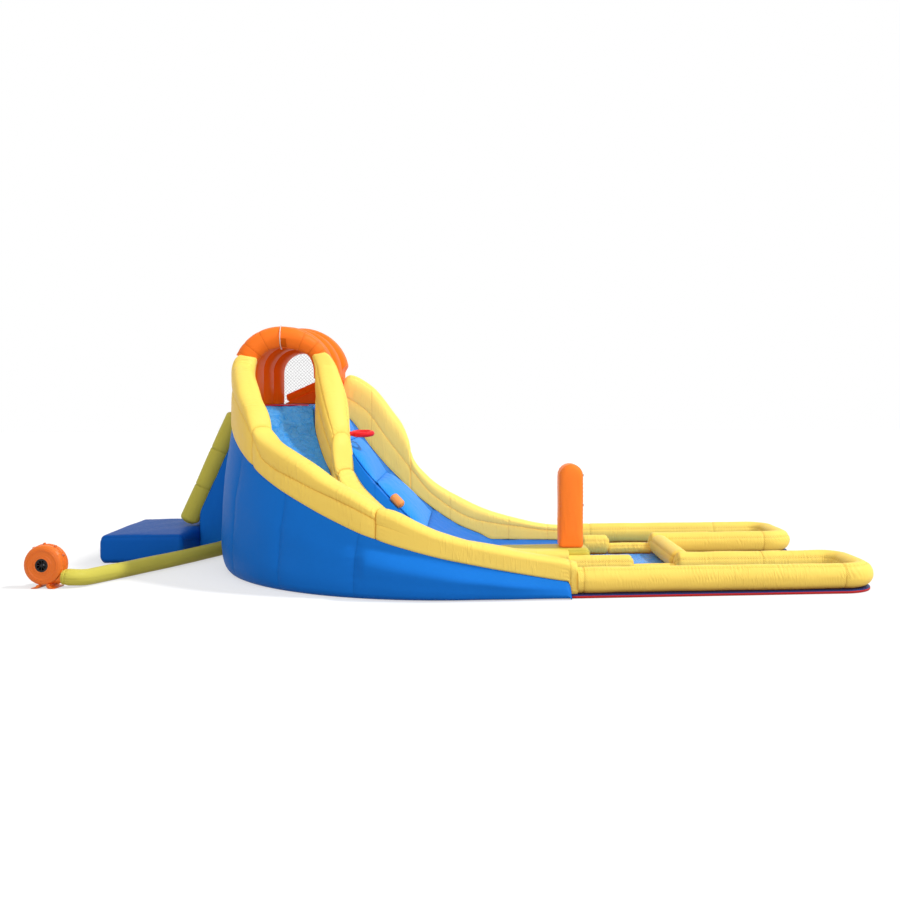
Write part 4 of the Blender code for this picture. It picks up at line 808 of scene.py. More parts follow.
def crease(distance, reach=0.17):
    """How far a chamber is drawn in at a distance d from its crease: 1 - 0.2 (1 - sqrt(1 - (1 - d/r)^2))."""
    q = 1 - np.clip(distance / reach, 0, 1)
    return 1 - (1 - CREASE) * (1 - np.sqrt(np.maximum(1 - q * q, 0)))


def lobed(low, seam, high, squeeze, pinch=1.0, ridges=()):
    """Widths and heights of a two lobed wall, one ring for each row."""
    wide, t_low, t_up, draw, angle = SECTION
    drop = 0.5 + 0.5 * squeeze[:, None]
    z = low[:, None] + (t_low * (seam - low)[:, None] + t_up * (high - seam)[:, None]) * drop
    w = wide * (1 - 0.13 * draw * np.broadcast_to(pinch, len(low))[:, None]) * HALF * squeeze[:, None]
    for at, depth in ridges:
        near = np.clip(1 - np.abs(angle - at) / 11.0, 0, 1) ** 1.6
        pull = depth * near * np.sin(np.pi * np.linspace(0, 1, len(low)))[:, None] ** 0.5
        w = w * (1 - pull * 0.8)
        z = z - pull * HALF * np.sin(np.radians(np.clip(angle, 0, 180)))
    return w, z


def ridge_columns(ridges):
    return [nearest(SECTION[4], at) for at, _ in ridges]


def guard_head(s, w_in, z, start, end_angle):
    """Shapes a guard's upper end into the column that carries the front arch. Behind the arch it rounds off
    in plan, its top is cut by a nearly level plane at the height of the arch's end, which stands at the
    angle a above the spring: z = spring + R sin a - 0.12 w, with a rounded rim, and it leans in as the
    arch does."""
    a = math.radians(end_angle)
    cut = ARCH_SPRING + ARCH_REACH * math.sin(a) - 0.12 * w_in
    near = ease((start + 0.30 - s) / 0.20)[:, None]
    under = ease((start + 0.38 - s) / 0.10)[:, None]
    z = np.minimum(z, cut * under + 9.0 * (1 - under))
    lean = ARCH_REACH - np.sqrt(np.maximum(ARCH_REACH ** 2 - np.maximum(z - ARCH_SPRING, 0) ** 2, 0.0))
    q = 1 - np.clip((cut - z) / 0.07, 0, 1)
    shoulder = 1 - 0.26 * (1 - np.sqrt(np.maximum(1 - q * q, 0.0))) * under
    return z, lean * near, shoulder


def slide_guard(node, s0, s1, first, last, seed, radius, foot, seam_of, crest, inward, ridges=(), angle=0.0,
                belly=0.0):
    """A length of guard: the two lobed section carried along the slide between two stations. A belly makes
    its side over the lane wider by a share that rises and falls along it as a sine."""
    s = np.linspace(s0 + GAP, s1 - GAP, int((s1 - s0) / GUARD_STEP))
    if first == "arch":
        back = 0.112 * np.cos(np.linspace(0, np.pi / 2, 12))
        s = np.concatenate((s0 - back[:-1], s))
    low, high = foot(s) + 2 * GAP, along_slide(crest, s)
    seam = seam_of(s, low, high)
    squeeze, cross = np.ones_like(s), []
    if first == "crease":
        squeeze, cross = squeeze * crease(s - s0), cross + [0]
    if last == "crease":
        squeeze, cross = squeeze * crease(s1 - s), cross + [len(s) - 1]
    if first == "arch":
        high = high + 0.15 * ease((s0 + 0.24 - s) / 0.16)
    w, z = lobed(low, seam, high, squeeze, ridges=ridges)
    if belly:
        # Only what stands over the lane swells, from the lane's height upwards
        full = belly * np.sin(np.pi * np.clip((s - s0) / (s1 - s0), 0, 1)) ** 1.3
        lane = height_line(CLIMB_LINE, lane_share(plan(s, LANE_EDGE)[0]))
        free = ease((z - lane[:, None] - 0.01) / 0.14)
        w = np.where(w < 0, w * (1 + full[:, None] * free), w)
    if first == "arch":
        thin = np.where(s < s0, np.sqrt(np.maximum(1 - ((s0 - s) / 0.115) ** 2, 0.0)), 1.0)
        boxy = ease((s0 + 0.22 - s) / 0.22)[:, None]
        full = np.sign(w) * np.minimum(np.abs(w) * (1 + 1.2 * boxy), np.maximum(HALF, np.abs(w)))
        dome = (SECTION[4] >= 0) & (SECTION[4] < 269)
        w = np.where(dome, full * boxy + w * (1 - boxy), w) * thin[:, None]
        z, lean, shoulder = guard_head(s, w * inward, z, s0, angle)
        slim = 1 - (0.24 * ease((s0 + 0.26 - s) / 0.26)[:, None] if inward > 0 else 0.0)
        w = w * shoulder * slim + lean * inward
    if inward > 0:
        w = w - along_slide(DIVIDER_LEAN, s)[:, None]
    x, y = plan(s[:, None], radius + w)
    sewn_skin(node, "yellow_vinyl", grid(x, y, z), (*SEAM_COLUMNS, *ridge_columns(ridges)), cross,
              groove=0.0035, seed=seed, reach=0.05, pucker=0.0065)


def wall_height(s):
    return along_slide(WALL_LINE, s)


def bed_base(s):
    return along_slide(BED_LINE, s) - BED_THICKNESS


def outer_seam(s, low, high):
    return np.clip(along_slide(GUARD_SEAM, s), low + 0.3 * (high - low), low + 0.7 * (high - low))


def middle_seam(s, low, high):
    return low + 0.5 * (high - low)


def make_slide_guards():
    """Outer guard and divider, in three lengths each."""
    guard = dict(radius=TURN_RADIUS, foot=wall_height, seam_of=outer_seam, crest=GUARD_LINE, inward=-1)
    a, b, c = (k * STEP for k in GUARD_CUTS)
    slide_guard("outer_guard_upper", a, b, "arch", "crease", 11, angle=ARCH_ENDS[0], **guard)
    slide_guard("outer_guard_middle", b, c, "crease", "crease", 12, **guard)
    make_lower_guard(c)
    divider = dict(radius=DIVIDER_RADIUS, foot=bed_base, seam_of=middle_seam, crest=DIVIDER_LINE, inward=1)
    a, b, c = (k * STEP for k in DIVIDER_CUTS)
    slide_guard("divider_upper", a, b, "arch", "crease", 14, ridges=((38.0, 0.10), (142.0, 0.10)),
                angle=ARCH_ENDS[1], belly=0.50, **divider)
    slide_guard("divider_middle", b, c, "crease", "crease", 15, belly=0.10, **divider)
    slide_guard("divider_lower", c, SLIDE_LENGTH, "crease", "", 16, **divider)


def make_lower_guard(start):
    """Last length of the outer guard: one lobe, whose end comes down to the ground beside the wall's end."""
    s = np.linspace(start + GAP, SLIDE_LENGTH - GAP, 240)
    drop = ease((s - (SLIDE_LENGTH - 0.085)) / 0.035)
    low = (wall_height(s) + 2 * GAP) * (1 - drop) + 0.034 * drop
    high = along_slide(GUARD_LINE, s)
    fade = ease((start + 0.35 - s) / 0.35) * 0.8
    w, z = lobed(low, middle_seam(s, low, high), high, crease(s - start), fade)
    x, y = plan(s[:, None], TURN_RADIUS + w)
    sewn_skin("outer_guard_lower", "yellow_vinyl", grid(x, y, z), (),
              (0, nearest(s, SLIDE_LENGTH - WALL_CUT)), groove=0.0035, seed=13, reach=0.06, pucker=0.007,
              pitch=0.034, slack=(len(SECTION[0]) - 14,))


def make_slide_body():
    """The slide's blue body. Its outer face leaves the ground, swells out between upright baffles and draws
    in under the guard; the other faces are those of the CAD body."""
    s = np.linspace(0.0, SLIDE_LENGTH - WALL_CUT, 620)
    top, base = wall_height(s), bed_base(s)
    t = np.concatenate((np.linspace(0, 0.1, 7)[:-1], np.linspace(0.1, 0.92, 34),
                        np.linspace(0.92, 1.0, 9)[1:]))
    foot = WALL_TOP + WALL_LEAN
    reach = height_line(((0.0, foot - 0.045), (0.03, foot - 0.012), (0.10, foot + 0.016),
                         (0.24, foot + WALL_BULGE), (0.45, foot + 0.018), (0.62, foot + 0.002),
                         (0.8, WALL_TOP + 0.035), (0.93, WALL_TOP + 0.008), (1.0, WALL_TOP - 0.012)), t)
    far = line_gap(s, np.array(WALL_BAFFLES) * TURN_RADIUS)
    body = np.sin(np.pi * t) ** 0.5
    r = reach - 0.020 * np.exp(-far / 0.05) * body
    # Past the last baffle the wall swells in a long belly that catches the light
    begin = WALL_BAFFLES[-1] * TURN_RADIUS + 0.10 * (2 * t - 1) ** 2
    belly = ease((s[:, None] - begin) / 0.12) * ease((SLIDE_LENGTH - s) / 0.8)[:, None]
    r += belly * 0.038 * np.exp(-((t - 0.58) / 0.22) ** 2)
    r -= belly * 0.014 * np.exp(-((t - 0.88) / 0.09) ** 2)
    # The end's upper corner is rounded
    end = np.clip((s - (s[-1] - 0.05)) / 0.05, 0, 1)
    droop = (1 - np.sqrt(1 - 0.96 * end ** 2))[:, None] * 0.055
    rings_r, rings_z = [r], [t * top[:, None]]
    for radius, height in ((BED_OUTER, top), (BED_OUTER - GAP, base), (BED_INNER, base), (LANE_EDGE, base),
                           (LANE_EDGE, np.zeros_like(s)), (2.0, np.zeros_like(s))):
        rings_r.append(np.full((len(s), 1), radius))
        rings_z.append(height[:, None])
    rr, zz = np.concatenate(rings_r, axis=1), np.concatenate(rings_z, axis=1)
    zz = np.maximum(np.where(zz > 0.03, zz - droop, zz), 0.0)
    points = grid(*plan(s[:, None], rr), zz)
    face = slice(0, len(t))
    high = t * top[:, None]
    sway = 0.0055 * ripple(s[:, None] / 0.55, high / 0.5, 21) * body
    fold = 0.004 * np.exp(-far / 0.06) * ripple(s[:, None] / 0.9, high / 0.08, 22) * body
    points[:, face] += outward(points)[:, face] * (sway + fold)[:, :, None]
    points[:, :, 2] = np.maximum(points[:, :, 2], 0.0)
    dress("slide_body", points, "blue_vinyl", np.broadcast_to(far, points.shape[:2]))


def make_slide_bed():
    """The slide's sheet: a thin bed across the slide, slack between its edges, with crumples along it. Red
    piping runs where it is sewn to the deck."""
    s = np.linspace(GAP, SLIDE_LENGTH - GAP, 700)
    base, top = bed_base(s)[:, None] + GAP, along_slide(BED_LINE, s)[:, None]
    k = np.linspace(0, 1, 56)
    inner = (BED_INNER + 0.002 - along_slide(DIVIDER_LEAN, s))[:, None]
    outer = np.full_like(inner, BED_OUTER - 0.002)
    radius = inner + (outer - inner) * k
    edge = np.minimum(k, 1 - k)
    dip = -0.004 - 0.010 * np.sin(np.pi * k) ** 2 + 0.012 * np.exp(-edge / 0.05)
    crumple = 0.0065 * ripple(s[:, None] / 0.16, radius / 0.12, 31, 11) * ease(edge / 0.08)
    broad = 0.010 * ripple(s[:, None] / 0.45, radius / 0.4, 32) * ease(edge / 0.10)
    z = top + dip + crumple + broad - 0.006
    points = grid(*plan(s[:, None], np.concatenate((radius, outer, inner), axis=1)),
                  np.concatenate((z, base, base), axis=1))
    tie(skin("slide_bed_skin", points),
        wet_vinyl("slide_sheet", (0.24, 0.60, 0.98), 14.0, 0.0045, 0.34), ("slide_bed",))
    x = np.linspace(-BED_OUTER + 0.01, -BED_INNER - 0.01, 60)
    path = grid(x, 0.004, 1.690 + 0.003 * ripple(x / 0.2, 0.0, 33))
    tie(skin("slide_head_piping", swept(path, 0.0065, 12)), cloth("red_vinyl"))


# Climbing lane

def station_lines():
    """Stations shared by the slide and the climbing lane, as in the part's source."""
    turn = np.arange(24) * STEP
    straight = TURN_LENGTH + np.arange(7) / 6.0
    return np.concatenate((turn, straight, [straight[-1] + CLIMB_END - 1.0]))


def make_climbing_body():
    """The lane's blue body: its top follows the lane's heights from the divider's inner face to the far
    edge, drawn down a little along the seams of its cross baffles."""
    lines = station_lines()
    s = np.linspace(0.0, lines[-1], 560)
    x, near = plan(s, LANE_EDGE - GAP)
    x, near = np.maximum(x, CLIMB_START + 2 * GAP), near[:, None]
    top, far = height_line(CLIMB_LINE, lane_share(x))[:, None], far_edge(x)[:, None]
    gap = line_gap(s, lines[np.unique(PILLOWS)])
    k = np.linspace(0, 1, 60)
    y = near + (far - near) * k
    edge = np.minimum(k, 1 - k)
    z = (top - 0.013 * np.exp(-gap / 0.03) * ease(edge / 0.05)
         + 0.005 * ripple(s[:, None] / 0.4, y / 0.35, 41) * ease(edge / 0.06) - 0.005)
    side = np.linspace(1, 0, 26)[1:]
    bow = FAR_BULGE * np.sin(np.pi * (1 - side) * 0.86) ** 0.8
    y2 = far + bow + 0.004 * ripple(s[:, None] / 0.4, side * 2, 42)
    yy = np.concatenate((y, y2, near), axis=1)
    zz = np.concatenate((z, top * side, np.zeros_like(near)), axis=1)
    dress("climbing_body", grid(x[:, None], yy, zz), "blue_vinyl", np.broadcast_to(gap, yy.shape))


def make_pillows():
    """Climbing pillows: crowned pads whose height falls off as 1 - |2u - 1|^2.4 along the lane and as
    (1 - |2k - 1|^3.2)^0.7 across it, with a crimped hem round the edge."""
    lines = station_lines()
    for number, (a, b) in enumerate(PILLOWS, 1):
        u = np.linspace(0, 1, 90)
        s = lines[a] + (lines[b] - lines[a]) * u
        x, near = plan(s, LANE_EDGE)
        # The first two reach nearer to the divider; the third keeps clear of the hand hold
        near = near + (PILLOW_MARGIN if number == 3 else 0.045 + 0.075 * u)
        swell = np.maximum(0.04, 1 - np.abs(2 * u - 1) ** 2.4)[:, None]
        inset = 0.075 * (1 - swell) ** 1.5
        near, far = near[:, None] + inset, PILLOW_FAR - inset
        low = height_line(CLIMB_LINE, lane_share(x))[:, None] + GAP
        k = (1 - np.cos(np.linspace(0, np.pi, 66))) / 2
        crown = (1 - np.abs(2 * k - 1) ** 3.2) ** 0.7
        y = near + (far - near) * k
        from_end, from_side = np.minimum(u, 1 - u)[:, None] * (lines[b] - lines[a]), np.minimum(k, 1 - k)
        crimp = 0.004 * np.cos(2 * np.pi * y / 0.05) * np.exp(-from_end / 0.05)
        crimp = crimp + 0.004 * np.cos(2 * np.pi * s / 0.05)[:, None] * np.exp(-from_side * 1.4 / 0.05)
        z = low + 0.008 + (PILLOW_HEIGHT + 0.020) * swell * crown + crimp
        z += 0.004 * ripple(s[:, None] / 0.3, y / 0.25, 50 + number) * crown
        points = grid(x[:, None], np.concatenate((y, far, near), axis=1),
                      np.concatenate((z, low, low), axis=1))
        hem = np.pad(np.minimum(from_side * 1.5, from_end), ((0, 0), (0, 2)))
        pad = dress(f"climbing_pillow_{number}", points, "light_blue_vinyl", hem)


def make_far_guards():
    """Far guard: the two lobed section along the lane's far edge, with long ridges on its upper lobe."""
    lines = station_lines()
    head, fold, foot = plan(lines[[1, FAR_CREASE, -1]], LANE_EDGE)[0]
    for node, x0, x1, count, ridges, marks, seed in (
            ("far_guard_upper", head, fold + 0.004, 260, ((58.0, 0.05), (122.0, 0.07)), (-1.12,), 61),
            ("far_guard_lower", fold - 0.004, foot, 320, ((66.0, 0.03), (125.0, 0.03)),
             (-0.175, 0.52, 0.98), 62)):
        x = np.linspace(x0 + GAP, x1 - GAP, count)
        share = lane_share(x)
        low, high = height_line(CLIMB_LINE, share) + 2 * GAP, height_line(FAR_LINE, share)
        seam = np.clip(height_line(FAR_SEAM, share), low + 0.3 * (high - low), low + 0.65 * (high - low))
        run = np.concatenate(([0.0], np.cumsum(np.hypot(np.diff(x), np.diff(high)))))
        squeeze, cross = crease(run), [0]
        if node == "far_guard_upper":
            rounded = np.sqrt(1 - (1 - np.clip(run / 0.10, 0, 1)) ** 2)
            high = high - 0.075 * (1 - rounded)
            squeeze, cross = crease(run[-1] - run) * (0.80 + 0.20 * rounded), [len(x) - 1]
        w, z = lobed(low, seam, high, squeeze, ridges=ridges)
        sewn_skin(node, "sunlit_yellow_vinyl", grid(x[:, None], (far_edge(x) - HALF)[:, None] + w, z),
                  (*SEAM_COLUMNS, *ridge_columns(ridges)), cross + [nearest(x, at) for at in marks],
                  groove=0.004, seed=seed)


def make_hoop():
    """Red hoop: a torus, (R + r cos v) round a tilted circle, with an arm to the divider."""
    ring, pipe = HOOP_RING
    way = np.array((math.cos(HOOP_ANGLE), math.sin(HOOP_ANGLE), 0.0))
    centre = np.array((0.0, 0.0, HOOP_HEIGHT)) - way * (LANE_EDGE - HOOP_REACH)
    u = np.linspace(0, 2 * np.pi, 96, endpoint=False)[:, None]
    v = np.linspace(0, 2 * np.pi, 32, endpoint=False)
    thick = pipe * (1 + 0.03 * np.cos(6 * u))
    reach = ring + thick * np.cos(v)
    x, y, z = reach * np.cos(u), reach * np.sin(u), thick * np.sin(v)
    c, s = math.cos(HOOP_TILT), math.sin(HOOP_TILT)
    points = grid(x, y * c - z * s, y * s + z * c) + centre
    seam = np.broadcast_to(np.abs(np.sin(v / 2)) * pipe * 3.0, points.shape[:2])
    dress("hoop_ring", points, "red_vinyl", seam, wrap_rows=True)
    start, end = LANE_EDGE - HOOP_REACH + ring + pipe * 0.55, LANE_EDGE + 0.055
    path = np.array((0.0, 0.0, HOOP_HEIGHT)) - way * np.linspace(start, end, 14)[:, None]
    flare = pipe * (0.72 + 0.28 * np.linspace(-1, 1, 14) ** 2)
    tie(skin("hoop_arm_skin", swept(path, flare, 24)), cloth("red_vinyl"))


def make_hand_hold():
    """Hand hold: a bolster that lies on the lane beside the divider."""
    x, y = plan(HOLD_ANGLE * TURN_RADIUS, LANE_EDGE - HOLD_RADIUS - 0.012)
    near = height_line(CLIMB_LINE, lane_share(x + np.array([-0.02, 0.0, 0.02])))
    fall = (near[2] - near[0]) / 0.04
    along = np.array((math.sin(HOLD_ANGLE), -math.cos(HOLD_ANGLE), fall * math.sin(HOLD_ANGLE)))
    along /= np.linalg.norm(along)
    up = np.array((-fall, 0.0, 1.0)) / math.hypot(fall, 1.0)
    middle = np.array((x, y, near[1])) + up * (HOLD_RADIUS + GAP)
    path = middle + along * np.linspace(-HOLD_LENGTH / 2, HOLD_LENGTH / 2, 20)[:, None]
    air_tube("hand_hold", "peach_vinyl", path, HOLD_RADIUS, (12,), up=up, columns=36, step=0.006,
             pucker=0.0016, pitch=0.02, groove=0.002, sway=0.0008, seed=65)


def make_step_and_pillar():
    """Lime step: a soft block. Pillar: a round topped outline carried front to back, with crowned faces."""
    low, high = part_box("splash_step")
    sewn_skin("splash_step", "lime_vinyl", *soft_block(low, high, 0.055, 0.006), floor=low.z,
              groove=0.004, seed=71)
    low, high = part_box("spray_pillar")
    wide, depth, tall = high - low
    middle, centre = (low + high) / 2, high.z - wide / 2
    bend = np.linspace(0, np.pi, 40)[1:-1, None]
    rise = np.linspace(0.03, 1, 36)[:, None]
    right = np.concatenate((np.full((36, 1), wide / 2), low.z + (centre - low.z) * rise), axis=1)
    top = np.concatenate((wide / 2 * np.cos(bend), centre + wide / 2 * np.sin(bend)), axis=1)
    t = np.linspace(0, 1, 18)[:, None]
    foot = np.concatenate((-wide / 2 + 0.02 + (wide - 0.04) * t, np.full((18, 1), low.z)), axis=1)
    outline = np.concatenate((right, top, right[::-1] * (-1, 1), foot))
    at, inset = end_insets(depth, 0.045, 8, 22)
    mid = np.array((0.0, middle.z))
    scale = 1 - inset[:, None] / np.array((wide / 2, tall / 2))
    xz = mid + (outline - mid) * scale[:, None]
    rings = domed(grid(middle.x + xz[..., 0], (low.y + at)[:, None], xz[..., 1]), rings=10)
    flat_x, side, flat_z = np.moveaxis((rings - np.array(middle)) / (np.array(high - low) / 2), -1, 0)
    crown = 0.026 * np.clip(1 - flat_x ** 2, 0, 1) * np.clip(1 - flat_z ** 6, 0, 1)
    rings[..., 1] += crown * side * np.abs(side)
    sewn_skin("spray_pillar", "pillar_orange_vinyl", rings, (), (15, len(rings) - 16), low.z, groove=0.0045,
              pucker=0.0065, pitch=0.034, reach=0.036, seed=72)


# Tower and canopy

def make_tower():
    """Tower body: a block whose side and back swell between upright baffles. Deck: a soft slab."""
    left, right, top = -WALL_TOP, CLIMB_START - GAP, DECK_TOP - DECK_THICKNESS
    y = np.linspace(GAP, TOWER_BACK, 90)[:, None]
    z = np.linspace(0, 1, 40)
    past = np.clip((y - TOWER_BACK + 0.05) / 0.05, 0, 1)
    corner = left + 0.035 - 0.035 * np.sqrt(np.clip(1 - past ** 2, 0, 1))
    swell = TOWER_BULGE * np.sqrt(np.abs(np.sin(np.pi * (y - GAP) / (TOWER_BACK - GAP))))
    body = np.sin(np.pi * np.clip(z, 0.02, 1)) ** 0.4
    x_side = corner - swell * body + 0.004 * ripple(y / 0.5, z * 3, 81)
    x_top = corner + (right - corner) * np.linspace(0, 1, 30)[1:-1]
    xs = np.concatenate((x_side, x_top, np.full((len(y), 2), right)), axis=1)
    zs = np.concatenate((z * top, np.full(29, top - 0.002), [0.0]))
    seam = np.broadcast_to(np.minimum(np.abs(y - GAP), np.abs(y - TOWER_BACK)), xs.shape)
    dress("tower_body", domed(grid(xs, y, zs), 0.0, 0.012), "blue_vinyl",
          np.pad(seam, ((7, 7), (0, 0)), "edge"))
    low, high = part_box("deck")
    sewn_skin("deck", "light_blue_vinyl", *soft_block(low, high, 0.03, 0.003), floor=low.z, groove=0.002,
              pucker=0.002, sway=0.002, seed=82)


def arch_middle():
    """The front arch's middle in plan, and the way from its outer leg to its inner one."""
    outer, inner = (np.array(plan(2 * STEP + 0.001, radius)) for radius in (TURN_RADIUS, DIVIDER_RADIUS))
    return (outer + inner) / 2, (inner - outer) / np.linalg.norm(inner - outer)


def make_front_arch():
    """Front arch: a round tube along a circle, middle + way (-R cos t) and spring + R sin t, with panel
    seams where its cut pieces meet. Its inner leg is slimmer and stands a little further out, as the
    divider does."""
    middle, way = arch_middle()
    t = np.radians(np.linspace(ARCH_ENDS[0] - 4.5, 180 - ARCH_ENDS[1] + 4.5, 260))
    inner = ease((t - math.radians(95)) / math.radians(50))
    across = 0.056 * inner - ARCH_REACH * np.cos(t)
    path = grid(middle[0] + way[0] * across, middle[1] + way[1] * across,
                ARCH_SPRING + ARCH_REACH * np.sin(t))
    rings = swept(path, ARCH_TUBE - 0.022 * inner, 64, (-way[1], way[0], 0.0))
    rows = [nearest(t, math.radians(a)) for a in (27, 40, 62, 118, 135, 146)]
    sewn_skin("front_arch", "orange_vinyl", rings, (), rows, groove=0.0035, pucker=0.0020, pitch=0.05,
              reach=0.03, sway=0.0015, seed=91)


def make_ribs():
    """Canopy ribs: a squarish section carried over the arch, sewn along both sides in small folds."""
    middle, way = arch_middle()
    deck = DECK_TOP + GAP
    lean = way[1] / way[0]
    near_side = middle[1] + (ARCH_TUBE + GAP) / way[0]
    columns = 64
    a = np.linspace(0, 2 * np.pi, columns, endpoint=False)
    c, s = np.cos(a), np.sin(a)
    kinds = (("canopy_rib_front", ARCH_REACH, RIB_THICKNESS[0]),
             ("canopy_rib_middle", ARCH_REACH, RIB_THICKNESS[1]), ("rear_arch", REAR_REACH, REAR_THICKNESS))
    for number, ((node, reach, thick), y1) in enumerate(zip(kinds, CANOPY_RIBS)):
        full = node == "rear_arch"
        y0 = CANOPY_RIBS[number - 1] + GAP if number else near_side
        x0 = middle[0] + CANOPY_DRIFT * (y0 + y1)
        t = np.linspace(0, np.pi, 130)
        leg = np.linspace(deck, CANOPY_SPRING, 26)[:-1]
        right = np.linspace(CANOPY_SPRING, deck if full else DOOR_HEAD, 26 if full else 8)[1:]
        px = np.concatenate((np.full(len(leg), x0 - reach), x0 - reach * np.cos(t),
                             np.full(len(right), x0 + reach)))
        pz = np.concatenate((leg, CANOPY_SPRING + reach * np.sin(t), right))
        dx, dz = np.gradient(px), np.gradient(pz)
        size = np.hypot(dx, dz)
        out = np.sign(s) * np.abs(s) ** 0.75 * thick / 2
        wide = px[:, None] - (dz / size)[:, None] * out
        if full:
            limit = CLIMB_START - DECK_EDGE + 0.09 * ease((pz - CANOPY_SPRING) / 0.12)[:, None]
            wide = np.minimum(wide, limit)
        start = y0 + (0.0 if number else lean) * (wide - middle[0])
        across = np.sign(c) * np.abs(c) ** 0.6 * (y1 - start) / 2
        rings = grid(wide, (start + y1) / 2 + across, pz[:, None] + (dx / size)[:, None] * out)
        sewn_skin(node, "deep_orange_vinyl", rings, (0, columns // 2), (0, len(px) - 1), groove=0.005,
                  pucker=0.008, pitch=0.055, reach=0.035, seed=93 + number)


def make_window():
    """Window wall: a soft slab under a sloping sill, with the sill's tube."""
    y1 = CANOPY_RIBS[2]
    low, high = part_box("window_wall")
    rings, corners = soft_block(low, high, 0.022, 0.002)
    share = (rings[:, :, 0] - low.x) / (high.x - low.x)
    sill = WINDOW_SILL[0] + (WINDOW_SILL[1] - WINDOW_SILL[0]) * share
    rings[:, :, 2] = low.z + (rings[:, :, 2] - low.z) * (sill - low.z) / (high.z - low.z)
    sewn_skin("window_wall", "orange_vinyl", rings, corners, groove=0.002, pucker=0.003, pitch=0.05,
              sway=0.001, seed=101)
    inside = REAR_REACH - REAR_THICKNESS / 2 - 0.004
    slant = np.array((2 * inside, 0.0, WINDOW_SILL[1] - WINDOW_SILL[0]))
    length = np.linalg.norm(slant)
    slant /= length
    lift = np.array((-slant[2], 0.0, slant[0])) * (SILL_TUBE + GAP)
    corner = np.array((rear_middle() - inside, y1 - 0.07, WINDOW_SILL[0]))
    path = corner + lift + slant * np.linspace(0.03, length - 0.03, 30)[:, None]
    air_tube("sill_tube", "deep_orange_vinyl", path, SILL_TUBE + 0.012, (12, 36), (0.25, 0.42), up=(0, 1, 0),
             step=0.006, columns=40, pucker=0.003, pitch=0.03, groove=0.003, sway=0.001, seed=102)


def rear_middle():
    return arch_middle()[0][0] + CANOPY_DRIFT * (CANOPY_RIBS[1] + GAP + CANOPY_RIBS[2])


def make_net():
    """Window net: diamonds between two families of slanting cords, cut to the arch's outline."""
    x0 = rear_middle()
    pitch, half = 0.040, 0.0021 / 2
    reach = REAR_REACH - REAR_THICKNESS / 2 + 0.05
    base = WINDOW_SILL[0] - 0.03
    n, m = int(2 * reach / pitch) + 1, int((CANOPY_SPRING + reach - base) / pitch) + 1
    i, j = np.meshgrid(np.arange(n), np.arange(m), indexing="ij")
    corner = grid(x0 - reach + i * pitch, CANOPY_RIBS[2] + NET_CORD / 2 + GAP, base + j * pitch)
    x, z = corner[..., 0] + pitch / 2, corner[..., 2] + pitch / 2
    top = CANOPY_SPRING + np.sqrt(np.maximum(reach ** 2 - (x - x0) ** 2, 0))
    corner = corner[(z < top) & (np.abs(x - x0) < reach)]
    starts = np.concatenate((corner, corner + (0, 0, pitch)))
    ways = np.repeat(((pitch, 0.0, pitch), (pitch, 0.0, -pitch)), len(corner), axis=0)
    side = np.cross(ways / np.linalg.norm(ways, axis=1, keepdims=True), (0, 1, 0)) * half
    back = np.broadcast_to((0.0, half, 0.0), side.shape)
    ring = np.stack((side, back, -side, -back), axis=1)
    ends = np.stack((starts, starts + ways), axis=1)
    vertices = (ends[:, :, None] + ring[:, None]).reshape(-1, 3)
    box = ((0, 1, 5, 4), (1, 2, 6, 5), (2, 3, 7, 6), (3, 0, 4, 7), (3, 2, 1, 0), (4, 5, 6, 7))
    quads = (np.arange(len(starts))[:, None, None] * 8 + box).reshape(-1, 4)
    uv = np.broadcast_to(np.array(((0, 0), (0, 1), (1, 1), (1, 0))) * 0.01, (len(quads), 4, 2))
    net = put_mesh("window_net_skin", vertices, np.ones(len(vertices)), quads, uv)
    tie(net, plastic("net_cord", (0.16, 0.16, 0.17), gloss=0.6, grain=1500.0), ("window_net",))


def make_hose():
    """Spray hose over the front arch's near side, its nozzle at the low end and the patch sewn under it."""
    middle, _ = arch_middle()
    top = ARCH_SPRING + ARCH_REACH
    out = ARCH_TUBE + HOSE_RADIUS + 0.003
    t = np.radians(np.linspace(-75, 75, 40))
    path = grid(middle[0], middle[1] - out * np.cos(t), top + out * np.sin(t))
    radius = HOSE_RADIUS * 0.62
    hose = skin("spray_hose_skin", swept(path, radius, 20, (1, 0, 0)))
    white = plastic("hose_plastic", (0.78, 0.60, 0.55), gloss=0.30)
    tie(hose, white, ("spray_hose",))
    along = np.linspace(0, 0.034, 14)
    size = 0.7 * np.interp(along, (0.0, 0.004, 0.020, 0.030, 0.034), (0.010, 0.013, 0.013, 0.009, 0.004))
    way = path[0] - path[1]
    way /= np.linalg.norm(way)
    line = path[0] + way * (along[:, None] - 0.006)
    nozzle = tie(skin("spray_nozzle", swept(line, size, 20, (1, 0, 0))), white)
    k = np.radians(np.linspace(-62, -8, 30))[:, None]
    wide = np.linspace(-0.062, 0.062, 16)
    r = ARCH_TUBE + 0.0022
    sag = (wide / ARCH_REACH) ** 2 * ARCH_REACH / 2
    outer = grid(middle[0] + wide, middle[1] - r * np.cos(k), top - sag + r * np.sin(k))
    inner = outer + (0, 0.0018, 0)
    patch = skin("hose_patch", np.concatenate((outer, inner[:, ::-1]), axis=1))
    tie(patch, cloth("patch_vinyl"))


# Rear

